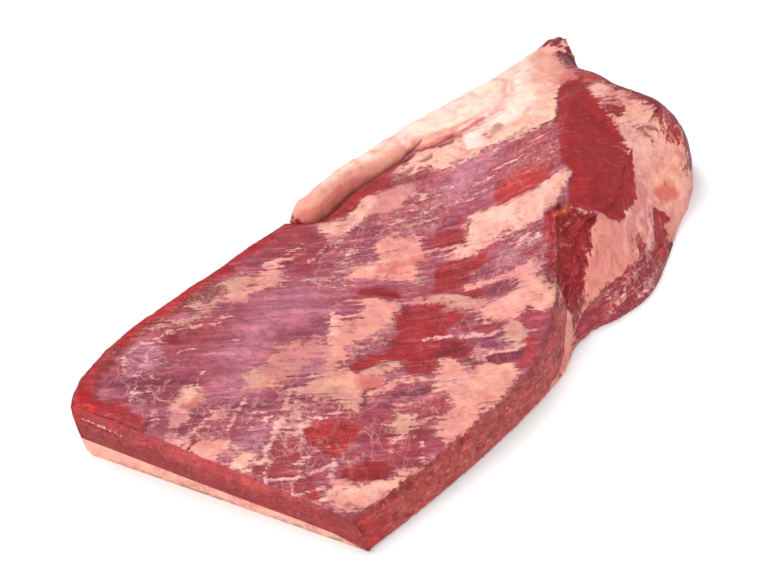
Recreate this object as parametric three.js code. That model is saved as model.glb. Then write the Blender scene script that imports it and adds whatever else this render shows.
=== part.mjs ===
// A whole beef brisket, raw and boneless, lying with its lean side up and its fat cap down.
// The thin end is cut square across. At the other end the flat muscle rides up over a wedge of
// seam fat and the point muscle, whose layers show on the near side. Along the far side of the
// thick half the fat cap turns up and over into a thick roll.
//
// Millimetres, +Z up. +X runs along the piece from the cut end to the thick end, +Y across it
// from the near side to the far side. The origin is under the middle of the bounding box.
//
// Every layer is a skin over a row of cross-sections. A section stands at a station, which is a
// place along the length. Stations fan out, so that the far side is longer than the near side.
import * as THREE from "three";

// Length.
const CUT_END = -227;
const THICK_END = 245;
const SPACING = 8;
const END_TUCK = 3; // one more station stands this close to each end
const FAN = 0.00103; // share by which a station moves out for each millimetre across
const FAN_PIVOT = -46; // where across the width a station has its nominal place

// Where the layers begin and end along the length.
const SEAM_START = -19;
const POINT_START = 5;
const POINT_END = 189;
const ROLL_START = -19;

// The near side: where its foot stands, and where and how high its top edge, the ridge, runs.
const nearFoot = curve([
  [-228, -149], [-144, -155], [-60, -157], [0, -154], [32, -146], [58, -145], [86, -152],
  [125, -156], [165, -148], [208, -133], [240, -121], [262, -106],
]);
const ridgeAcross = curve([
  [-224, -136], [-112, -147], [-45, -147], [0, -138], [43, -120], [84, -94], [133, -61],
  [178, -36], [224, -23], [268, -18],
]);
const ridgeHeight = curve([
  [-224, 24], [-112, 26], [-45, 29], [0, 33], [43, 43], [84, 58], [133, 72], [178, 76],
  [220, 68], [268, 54],
]);

// The far side: where its upper edge runs, how high it is and how far its foot stands in.
const farEdge = curve([
  [-228, 57], [-204, 70], [-160, 79.5], [-110, 79], [-50, 76], [-11, 75], [0, 77], [89, 74.5],
  [135, 69], [180, 60], [228, 52], [262, 56],
]);
const farHeight = curve([
  [-228, 43], [-160, 38], [-88, 37], [0, 40], [89, 46], [180, 53], [268, 50],
]);
const farUndercut = curve([[-228, 10], [-190, 4], [-100, 3], [262, 4]]);
const SIDE_BULGE = 1.6; // how far both sides belly out between foot and edge
const CROWN = 2; // how much the face rises in its middle above a straight line across it

// How the near side changes along the length.
const SLOPE_EASES = [20, 120]; // stations over which it becomes a long easy slope
const SLOPE_FILLS = [185, 262]; // stations over which it becomes full and round
const STRAIGHT = { cutEnd: 1, middle: 0.75, thickEnd: 0.1 };
const FULLNESS = 1.4; // power by which the full part leans inward

// The rounding of edges.
const FOOT_ROUND = 3;
const FOOT_SHARE = 0.1; // share of the near side's height that the rounded foot takes
const FOOT_HEIGHT = 4; // height of the rounded foot on the far side
const CUT_ROUND = 1.6;
const END_ROUND = 20; // length over which the thick end rounds down
const END_DROP = 0.36; // share of the height that it loses there, on the near side
const END_DROP_FAR = 0.2;
const END_INWARD = 8; // how far its near side comes in
const END_INWARD_FAR = 9;
const END_REACH = 70; // length over which the end's bulges grow
const END_BULGES = [ // where the end stands out: place across, half width, depth
  [-88, 50, 28],
  [48, 30, 20],
];
const topRound = curve([[-40, 3], [0, 9], [150, 9], [200, 3]]);

// The fat cap beneath.
const CAP_NEAR = 6; // thickness towards the near side
const CAP_FAR = 13;
const CAP_SAG = 1.2; // how much thinner it is between the two
const CAP_LIP = 2.5; // thickness of its near edge
const CAP_RISE = 24; // width over which it reaches its full thickness
const CAP_TRIM = { back: 3, wall: 1, outer: 0.6, inner: 0.3 }; // its cut far edge, before the roll
const capInset = curve([[-228, 2], [-200, 9], [268, 9]]); // from the near foot to its near edge

// The roll that the cap makes along the far side.
const rollInner = curve([
  [-20, 74], [-12, 64], [-4, 58], [36, 59], [77, 50], [119, 45], [150, 38], [190, 34], [268, 28],
]);
const rollTop = curve([[-19, 13.3], [-11, 46], [-3, 51], [89, 52], [180, 54], [262, 53]]);
const rollCleft = curve([[-19, 0.2], [-11, 8], [150, 13], [200, 3], [262, 2]]); // cleft beside it
const ROLL_OUTER = 15; // how far its rounded top reaches down its outer side
const ROLL_OUTER_SHARE = 0.4; // or this share of its height where it is low

// The layers that show on the near slope, as shares of its height. Each runs through the piece
// to the roll, and stands this high above the cap there.
const seamShare = curve([
  [-20, 0.15], [0, 0.24], [25, 0.5], [50, 0.72], [80, 0.76], [105, 0.72], [135, 0.58],
  [160, 0.54], [200, 0.6], [240, 0.72], [268, 0.8],
]);
const pointShare = curve([
  [4, 0.13], [25, 0.26], [50, 0.33], [90, 0.33], [130, 0.27], [160, 0.18], [188, 0.07],
]);
const seamFar = curve([[-20, 0.7], [60, 9], [268, 12]]);
const pointFar = curve([[4, 0.7], [60, 6], [130, 6], [188, 0.7]]);
const THINNEST = 0.7;
const GAP = 0.35; // between neighbouring layers

// Broad relief of the upper face, each one a swell or a hollow on an ellipse:
// place along, place across, half length, half width, turn in degrees, height.
const SWELLS = [
  [-150, -60, 70, 34, -40, 2],
  [-95, 20, 90, 30, -42, 1.6],
  [-60, -78, 70, 24, -38, -2.2],
  [-82, -132, 52, 15, -12, 1.6],
  [15, -112, 42, 17, -30, 2.4],
  [20, -30, 90, 24, -32, 2.4],
  [45, 25, 60, 22, -20, 2],
  [95, -38, 80, 14, -26, -2.6],
  [95, -60, 62, 14, -24, 2.6],
  [150, 30, 70, 24, -14, 2.4],
  [215, 30, 60, 34, -20, 2.6],
  [-192, 6, 44, 20, -60, -1.8],
  [-210, -132, 34, 20, -20, 1.6],
];
const FIBRE_TURN = { cutEnd: -42, thickEnd: -20, from: -200, to: 220 };
const FIBRE_PITCH = 31; // width of the broad bundles of muscle
const FIBRE_DEPTH = 0.8;
const RELIEF_FADE = 24; // length over which the relief fades towards both ends

// The torn hollow where the near slope meets the face, in stations and shares of the slope.
const HOLLOW = { station: 92, share: 0.9, length: 44, height: 0.3, depth: 4, sink: 1.6 };

// How finely a section is drawn: columns of the sheets, the face and the rounded parts.
const SHEET_COLUMNS = 8;
const FACE_COLUMNS = 22;
const FADE_COLUMNS = 3; // over which the relief fades towards both sides of the face
const JOIN_COLUMNS = 4; // over which the face meets the height of the ridge
const SLOPE_STEPS = 7;
const ARC_STEPS = 4;
const ROLL_STEPS = 8;
const EDGE_BAND = 6; // width of the strip beside the far edge in which a sheet runs straight
const LIP_BAND = 1.2; // width of the strip outside the cap's near edge

const { clamp, lerp, smoothstep, degToRad } = THREE.MathUtils;

// A smooth curve through [place, value] pairs, level before the first and after the last.
function curve(knots) {
  const last = knots.length - 1;
  const slope = (i) => {
    const [x0, y0] = knots[Math.max(i - 1, 0)];
    const [x1, y1] = knots[Math.min(i + 1, last)];
    return (y1 - y0) / (x1 - x0);
  };
  return (place) => {
    const x = clamp(place, knots[0][0], knots[last][0]);
    const next = Math.max(knots.findIndex(([knot]) => knot >= x), 1);
    const [x0, y0] = knots[next - 1];
    const [x1, y1] = knots[next];
    const span = x1 - x0;
    const t = (x - x0) / span;
    const rise = t * t * (3 - 2 * t);
    const leave = t * (1 - t) * (1 - t) * span * slope(next - 1);
    const arrive = t * t * (t - 1) * span * slope(next);
    return lerp(y0, y1, rise) + leave + arrive;
  };
}

// The stations of a layer: every one of the common row that lies between its two ends.
function stations(from, to) {
  const row = [CUT_END + END_TUCK, THICK_END - END_TUCK];
  for (let s = CUT_END; s <= THICK_END; s += SPACING) row.push(s);
  return row.sort((a, b) => a - b).filter((s) => s >= from && s <= to);
}

// The place in space of a point of a section.
function inSpace(station, { y, z }) {
  const late = smoothstep(station, THICK_END - END_REACH, THICK_END);
  let x = station * (1 + FAN * (y - FAN_PIVOT));
  for (const [across, width, depth] of END_BULGES) x += depth * late * bump(y - across, 0, width, 1);
  return [x, y, z];
}

// How far the thick end has rounded: 0 over most of the length, 1 at the very end.
function endRound(station) {
  const t = clamp((station - THICK_END + END_ROUND) / END_ROUND, 0, 1);
  return 1 - Math.sqrt(1 - t * t);
}

// The share of its height that a section has, from the near side, 0, to the far side, 1.
function heightFactor(station, side) {
  return 1 - lerp(END_DROP, END_DROP_FAR, side) * endRound(station);
}

// A bump on a tilted ellipse: 1 in its middle, 0 outside.
function bump(dx, dy, length, width, turn = 0) {
  const a = degToRad(turn);
  const along = (dx * Math.cos(a) + dy * Math.sin(a)) / length;
  const beside = (-dx * Math.sin(a) + dy * Math.cos(a)) / width;
  const r2 = along * along + beside * beside;
  return r2 < 1 ? (1 - r2) ** 2 : 0;
}

// The near side as a curve from its foot, share 0, up to the ridge, share 1. It is steep and
// straight at the thin end, a long slope further on and full and round at the thick end.
function nearSide(station, share) {
  const full = smoothstep(station, ...SLOPE_FILLS);
  const eased = lerp(STRAIGHT.cutEnd, STRAIGHT.middle, smoothstep(station, ...SLOPE_EASES));
  const straight = lerp(eased, STRAIGHT.thickEnd, full);
  const a = (share * Math.PI) / 2;
  const inward = lerp((1 - Math.cos(a)) ** lerp(1, FULLNESS, full), share, straight);
  const upward = lerp(Math.sin(a), share, straight);
  const tuck = FOOT_ROUND * clamp(1 - share / FOOT_SHARE, 0, 1) ** 2;
  const hollow = bump(station - HOLLOW.station, share - HOLLOW.share, HOLLOW.length, HOLLOW.height);
  const inset = tuck + HOLLOW.depth * hollow + END_INWARD * endRound(station);
  const y = lerp(nearFoot(station), ridgeAcross(station), inward);
  return {
    y: y + inset - SIDE_BULGE * Math.sin(Math.PI * share),
    z: ridgeHeight(station) * heightFactor(station, 0) * upward - HOLLOW.sink * hollow,
  };
}

// The outer far side at a height.
function farSide(station, z) {
  const low = 1 - clamp(z / farHeight(station), 0, 1);
  const tuck = FOOT_ROUND * clamp(1 - z / FOOT_HEIGHT, 0, 1) ** 2;
  const belly = SIDE_BULGE * Math.sin(Math.PI * low);
  const inset = tuck + farUndercut(station) * low + END_INWARD_FAR * endRound(station);
  return farEdge(station) - inset + belly;
}

// Where the lean ends on the far side: at the surface, or inside the roll where there is one.
function leanFar(station, z) {
  if (station < SEAM_START) return farSide(station, z);
  return Math.min(farSide(station, z) - 1, rollInner(station));
}

// Height of the upper face, without its rounded far edge.
function faceHeight(station, y) {
  const from = ridgeAcross(station);
  const t = (y - from) / (farEdge(station) - from);
  const crown = CROWN * Math.sin(Math.PI * clamp(t, 0, 1));
  const level = lerp(ridgeHeight(station), farHeight(station), t) + crown;
  const edge = CUT_ROUND * (1 - smoothstep(station, CUT_END, CUT_END + END_TUCK));
  return level * heightFactor(station, clamp(t, 0, 1)) - edge;
}

// The swells, hollows and bundles of muscle that stand on the upper face.
function faceRelief(station, y) {
  const [x] = inSpace(station, { y, z: 0 });
  const { cutEnd, thickEnd, from, to } = FIBRE_TURN;
  const a = degToRad(lerp(cutEnd, thickEnd, smoothstep(station, from, to)));
  const beside = -x * Math.sin(a) + y * Math.cos(a);
  let relief = FIBRE_DEPTH * Math.sin((2 * Math.PI * beside) / FIBRE_PITCH);
  for (const [along, across, length, width, swellTurn, height] of SWELLS) {
    relief += height * bump(x - along, y - across, length, width, swellTurn);
  }
  const fromCut = smoothstep(station, CUT_END, CUT_END + RELIEF_FADE);
  return relief * fromCut * (1 - smoothstep(station, THICK_END - RELIEF_FADE, THICK_END));
}

// Top of the fat cap, which is the bottom sheet for the layers above it. Near the foot, before
// the cap begins, it lies on the ground.
function capSheet(station, y) {
  const edge = nearSide(station, 0).y + capInset(station);
  if (y < edge - LIP_BAND / 2) return 0;
  const far = leanFar(station, CAP_FAR);
  const t = clamp((y - edge) / (far - edge), 0, 1);
  const full = lerp(CAP_NEAR, CAP_FAR, t) - CAP_SAG * Math.sin(Math.PI * t);
  return lerp(CAP_LIP, full, smoothstep(y, edge, edge + CAP_RISE)) * heightFactor(station, 0);
}

// The sheet over a layer that thins from its height on the near slope to a height over the cap.
function layerSheet(station, y, share, farRise, below) {
  const near = nearSide(station, share);
  const t = clamp((y - near.y) / (leanFar(station, CAP_FAR) - near.y), 0, 1);
  const far = capSheet(station, y) + farRise;
  const height = lerp(near.z, far, 1 - (1 - t) ** 2);
  return Math.max(height, below(station, y) + THINNEST);
}

const hasPoint = (s) => s >= POINT_START && s <= POINT_END;
const hasSeam = (s) => s >= SEAM_START;
const gapOverCap = (s, y) => capSheet(s, y) + (capSheet(s, y) > 0 ? GAP : 0);

// Top of the point muscle, or of the cap where there is no point muscle.
function pointSheet(station, y) {
  if (!hasPoint(station)) return gapOverCap(station, y);
  return layerSheet(station, y, pointShare(station), pointFar(station), gapOverCap);
}

// Top of the seam fat, or of what is under it where there is no seam fat.
function seamSheet(station, y) {
  if (!hasSeam(station)) return pointSheet(station, y);
  const below = (s, at) => pointSheet(s, at) + (hasPoint(s) ? GAP : 0);
  return layerSheet(station, y, seamShare(station), seamFar(station), below);
}

// Points of a sheet from the near side at a share of the slope to a far edge. The second and
// third columns stand either side of the cap's near edge.
function sheetPoints(station, share, sheet, lift) {
  const { y: start, z } = nearSide(station, share);
  const inset = capInset(station);
  const end = leanFar(station, CAP_FAR) - EDGE_BAND;
  const points = [{ y: start, z: share > 0 ? z + lift : 0 }];
  const lip = start + inset - LIP_BAND;
  points.push({ y: lip, z: sheet(station, lip) + lift });
  for (let i = 0; i <= SHEET_COLUMNS; i += 1) {
    const y = lerp(start + inset, end, i / SHEET_COLUMNS);
    points.push({ y, z: sheet(station, y) + lift });
  }
  const edgeHeight = sheet(station, end + EDGE_BAND) + lift;
  points.push({ y: leanFar(station, edgeHeight), z: edgeHeight });
  return points;
}

// Points of the near side from one share of its height to another, both ends included.
function slopePoints(station, from, to, steps) {
  const shares = Array.from({ length: steps + 1 }, (_, i) => lerp(from, to, i / steps));
  return shares.map((share) => nearSide(station, share));
}

// A closed skin over the sections at some stations. Each section is a closed outline, listed the
// way round that leaves the inside on its left when seen from the thick end. Each patch between
// two sections is split along its shorter diagonal, so that layers that meet are split alike.
function skin(row, section) {
  const rings = row.map(section);
  const count = rings[0].length;
  const corners = rings.flatMap((ring, i) => ring.map((point) => inSpace(row[i], point)));
  const apart = (i, j) => Math.hypot(...corners[i].map((value, axis) => value - corners[j][axis]));
  const faces = [];
  for (let i = 0; i + 1 < rings.length; i += 1) {
    for (let j = 0; j < count; j += 1) {
      const a = i * count + j;
      const b = i * count + ((j + 1) % count);
      const [c, d] = [a + count, b + count];
      if (apart(a, d) < apart(b, c)) faces.push(a, b, d, a, d, c);
      else faces.push(a, b, c, b, d, c);
    }
  }
  const end = (rings.length - 1) * count;
  for (const [a, b, c] of capFaces(rings[0])) faces.push(a, c, b);
  for (const [a, b, c] of capFaces(rings.at(-1))) faces.push(end + a, end + b, end + c);
  const geometry = new THREE.BufferGeometry();
  geometry.setAttribute("position", new THREE.Float32BufferAttribute(corners.flat(), 3));
  geometry.setIndex(faces);
  geometry.computeVertexNormals();
  return geometry;
}

// Triangles that close an outline.
function capFaces(outline) {
  const flat = outline.map(({ y, z }) => new THREE.Vector2(y, z));
  return THREE.ShapeUtils.triangulateShape(flat, []);
}

// The lean on top, over the whole length.
function flatMuscle() {
  return skin(stations(CUT_END, THICK_END), (s) => {
    const share = hasSeam(s) ? seamShare(s) : 0;
    const lift = hasSeam(s) ? GAP : 0;
    const lower = sheetPoints(s, share, seamSheet, lift);
    const slope = slopePoints(s, share, 1, SLOPE_STEPS).slice(1);
    const ridge = nearSide(s, 1);
    const round = topRound(s);
    const shoulder = leanFar(s, farHeight(s)) - round;
    const face = [];
    for (let i = 1; i < FACE_COLUMNS; i += 1) {
      const y = lerp(ridge.y, shoulder, i / FACE_COLUMNS);
      const fade = smoothstep(i, 0, FADE_COLUMNS) * smoothstep(FACE_COLUMNS - i, 0, FADE_COLUMNS);
      const join = (ridge.z - faceHeight(s, ridge.y)) * (1 - smoothstep(i, 0, JOIN_COLUMNS));
      face.push({ y, z: faceHeight(s, y) + join + fade * faceRelief(s, y) });
    }
    const arc = [];
    const top = faceHeight(s, shoulder);
    for (let i = 0; i <= ARC_STEPS; i += 1) {
      const a = ((i / ARC_STEPS) * Math.PI) / 2;
      const z = top - round * (1 - Math.cos(a));
      const out = round * (1 - Math.sin(a));
      arc.push({ y: leanFar(s, z) - out, z });
    }
    const rest = arc.at(-1).z;
    const foot = lower.at(-1).z;
    const side = [2 / 3, 1 / 3].map((t) => lerp(foot, rest, t));
    const far = side.map((z) => ({ y: leanFar(s, z), z }));
    return [...lower, ...far.reverse(), ...arc.reverse(), ...face.reverse(), ...slope.reverse()];
  });
}

// The wedge of fat between the two muscles.
function seamFat() {
  return skin(stations(SEAM_START, THICK_END), (s) => {
    const share = hasPoint(s) ? pointShare(s) : 0;
    const lower = sheetPoints(s, share, pointSheet, hasPoint(s) ? GAP : 0);
    const upper = sheetPoints(s, seamShare(s), seamSheet, 0);
    const slope = slopePoints(s, share, seamShare(s), 3).slice(1, -1);
    return [...lower, ...upper.reverse(), ...slope.reverse()];
  });
}

// The point muscle, under the seam fat.
function pointMuscle() {
  return skin(stations(POINT_START, POINT_END), (s) => {
    const lower = sheetPoints(s, 0, gapOverCap, 0);
    const upper = sheetPoints(s, pointShare(s), pointSheet, 0);
    const slope = slopePoints(s, 0, pointShare(s), 3).slice(1, -1);
    return [...lower, ...upper.reverse(), ...slope.reverse()];
  });
}

// The fat cap: a sheet on the ground which, from the start of the roll, stands up along the far
// side and ends in a rounded top. Before that its far edge is just cut off.
function fatCap() {
  return skin(stations(CUT_END, THICK_END), (s) => {
    const sheet = sheetPoints(s, 0, capSheet, 0).slice(2);
    const edge = sheet[0].y;
    const end = sheet.pop();
    const rolled = s >= ROLL_START;
    const top = rolled ? rollTop(s) * heightFactor(s, 1) : end.z;
    const inner = rolled ? leanFar(s, end.z) + GAP : end.y - CAP_TRIM.back;
    const outerDrop = rolled ? Math.min(ROLL_OUTER, ROLL_OUTER_SHARE * top) : CAP_TRIM.outer;
    const outerHeight = top - outerDrop;
    const innerDrop = rolled ? rollCleft(s) : CAP_TRIM.inner;
    const roll = [];
    for (let i = 0; i <= ROLL_STEPS; i += 1) {
      const a = (i / ROLL_STEPS) * Math.PI;
      const outer = farSide(s, outerHeight);
      const y = lerp(outer, inner, 0.5 - 0.5 * Math.cos(a));
      const drop = i < ROLL_STEPS / 2 ? outerDrop : innerDrop;
      roll.push({ y, z: top - drop * (1 - Math.sin(a)) });
    }
    const lowest = rolled ? end.z : roll.at(-1).z;
    const wall = [{ y: inner - (rolled ? 0 : CAP_TRIM.wall), z: rolled ? lowest : end.z }];
    const floor = farSide(s, 0);
    const ground = [0, 0.5, 1].map((t) => ({ y: lerp(edge, floor, t), z: 0 }));
    const outerSide = [1 / 3, 2 / 3].map((t) => {
      const z = lerp(0, outerHeight, t);
      return { y: farSide(s, z), z };
    });
    return [...ground, ...outerSide, ...roll, ...wall, ...sheet.reverse()];
  });
}

const lean = { color: 0xa2434f, roughness: 0.45, metalness: 0 };
const fat = { color: 0xe9b9a2, roughness: 0.5, metalness: 0 };
const layers = [
  ["flat_muscle", flatMuscle, lean],
  ["seam_fat", seamFat, fat],
  ["point_muscle", pointMuscle, lean],
  ["fat_cap", fatCap, fat],
];

const brisket = new THREE.Group();
for (const [name, build, look] of layers) {
  const mesh = new THREE.Mesh(build(), new THREE.MeshStandardMaterial(look));
  mesh.name = name;
  brisket.add(mesh);
}

const box = new THREE.Box3().setFromObject(brisket);
const middle = box.getCenter(new THREE.Vector3());
brisket.position.set(-middle.x, -middle.y, -box.min.z);

export default brisket;
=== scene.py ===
"""A whole raw beef brisket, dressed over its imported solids.

Every layer of the meat is built again as a fine skin over the same cross-sections as its solid,
then painted with kinds of tissue and raised or sunk where each kind stands or lies. The form is
drawn in millimetres in a drawing frame, with +X from the cut end to the thick end, +Y from the
near side to the far side and +Z up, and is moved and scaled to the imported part's metres at the end.
"""

import logging
import math
from collections.abc import Callable
from dataclasses import dataclass, replace
from enum import Enum
from functools import reduce

import bpy
import numpy as np
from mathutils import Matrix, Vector


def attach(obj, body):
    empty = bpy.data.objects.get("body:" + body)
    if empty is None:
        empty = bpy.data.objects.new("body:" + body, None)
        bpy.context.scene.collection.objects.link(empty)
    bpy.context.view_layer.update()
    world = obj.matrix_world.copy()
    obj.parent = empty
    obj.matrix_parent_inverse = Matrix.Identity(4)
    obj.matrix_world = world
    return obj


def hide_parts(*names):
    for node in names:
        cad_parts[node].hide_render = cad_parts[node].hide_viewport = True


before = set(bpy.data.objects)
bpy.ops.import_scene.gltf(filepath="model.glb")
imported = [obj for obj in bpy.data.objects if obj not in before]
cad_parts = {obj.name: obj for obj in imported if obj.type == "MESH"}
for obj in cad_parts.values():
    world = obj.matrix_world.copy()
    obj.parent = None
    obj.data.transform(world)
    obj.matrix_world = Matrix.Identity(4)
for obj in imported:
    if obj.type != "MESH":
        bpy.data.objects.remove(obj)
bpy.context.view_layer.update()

MM = 0.001
PAINT_SEED = 3  # the seed of the noise on the lean and the seam fat
CAP_SEED = 63  # the seed of the noise on the fat cap
SLIVER = 0.004  # a very small share of the way up the near slope
ORIGIN = np.array([17.98, -37.92, 0.0])  # the part's origin in the drawing frame


def lerp(start: np.ndarray, end: np.ndarray, share: np.ndarray) -> np.ndarray:
    """Returns the value that lies a share of the way from start to end."""
    return start + (end - start) * share


def rise(value: np.ndarray, low: float, high: float) -> np.ndarray:
    """Returns a smooth step of value: 0 at low and before, 1 at high and beyond."""
    share = np.clip((value - low) / (high - low), 0, 1)
    return share * share * (3 - 2 * share)


def linear(colour: str) -> np.ndarray:
    """Returns the linear red, green and blue of a colour written as six hexadecimal digits."""
    parts = np.array([int(colour[i:i + 2], 16) / 255 for i in (0, 2, 4)])
    return np.where(parts <= 0.04045, parts / 12.92, ((parts + 0.055) / 1.055) ** 2.4)


class Curve:
    """A smooth curve through knots of place and value, level before the first and after the last."""

    def __init__(self, *knots: tuple[float, float]) -> None:
        """Keeps the knots and works out the slope at each.

        Args:
            *knots: Pairs of place and value, in order of place.
        """
        self.places = np.array([knot[0] for knot in knots], float)
        self.values = np.array([knot[1] for knot in knots], float)
        last = len(knots) - 1
        before = np.maximum(np.arange(last + 1) - 1, 0)
        after = np.minimum(np.arange(last + 1) + 1, last)
        run = self.places[after] - self.places[before]
        self.slopes = (self.values[after] - self.values[before]) / run

    def __call__(self, place: np.ndarray) -> np.ndarray:
        """Returns the value of the curve at one place or at many.

        Args:
            place: One place or an array of places.

        Returns:
            The value at each place.
        """
        at = np.clip(place, self.places[0], self.places[-1])
        left = np.clip(np.searchsorted(self.places, at) - 1, 0, len(self.places) - 2)
        span = self.places[left + 1] - self.places[left]
        t = (at - self.places[left]) / span
        level = lerp(self.values[left], self.values[left + 1], t * t * (3 - 2 * t))
        leave = t * (1 - t) * (1 - t) * span * self.slopes[left]
        arrive = t * t * (t - 1) * span * self.slopes[left + 1]
        return level + leave + arrive


class Noise:
    """Smooth noise in space, the same for the same seed."""

    def __init__(self, seed: int) -> None:
        """Shuffles the table and the directions that the noise is made of.

        Args:
            seed: Any whole number.
        """
        random = np.random.default_rng(seed)
        self.table = np.tile(random.permutation(256), 3)
        directions = random.normal(size=(256, 3))
        self.directions = directions / np.linalg.norm(directions, axis=1)[:, None]

    def __call__(self, points: np.ndarray, octaves: int = 1) -> np.ndarray:
        """Returns noise of about -1 to 1.

        Args:
            points: Places, one row each, in units of the largest wave.
            octaves: How many times a wave of half the size and height is added.

        Returns:
            One value for each row.
        """
        total = np.zeros(len(points))
        height = 1.0
        for octave in range(octaves):
            total += height * self.wave(points * 2.0 ** octave + 17.3 * octave)
            height *= 0.5
        return total * 1.6

    def wave(self, points: np.ndarray) -> np.ndarray:
        """Returns one wave of gradient noise at each row of points.

        Args:
            points: One row per point.

        Returns:
            A value of about -1 to 1 for each row.
        """
        cell = np.floor(points).astype(int)
        within = points - cell
        fade = within ** 3 * (within * (within * 6 - 15) + 10)
        total = np.zeros(len(points))
        for corner in np.ndindex(2, 2, 2):
            x, y, z = ((cell + corner) & 255).T
            pick = self.table[self.table[self.table[x] + y] + z]
            offset = within - corner
            weight = np.prod(np.where(corner, fade, 1 - fade), axis=1)
            total += weight * np.einsum("ij,ij->i", self.directions[pick], offset)
        return total


def plane(across: np.ndarray, along: np.ndarray, wide: float, long: float) -> np.ndarray:
    """Returns noise places for a pattern whose marks are this wide and this long."""
    return np.column_stack([across / wide, along / long, np.zeros(len(across))])


def bump(dx: np.ndarray, dy: np.ndarray, length: float, width: float, turn: float = 0) -> np.ndarray:
    """Returns a smooth bump on a turned ellipse: 1 in its middle, 0 outside.

    Args:
        dx: How far each point is from the middle along the piece, in mm.
        dy: How far each point is from the middle across it, in mm.
        length: Half the length of the ellipse, in mm.
        width: Half its width, in mm.
        turn: Its turn, in degrees.

    Returns:
        The height at each point, 0 to 1.
    """
    a = math.radians(turn)
    along = (dx * math.cos(a) + dy * math.sin(a)) / length
    beside = (-dx * math.sin(a) + dy * math.cos(a)) / width
    return np.clip(1 - along * along - beside * beside, 0, 1) ** 2


@dataclass
class Section:
    """An outline of one cross-section, and where each of its points draws in to at an end."""

    y: np.ndarray
    z: np.ndarray
    core_y: np.ndarray
    core_z: np.ndarray


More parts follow.
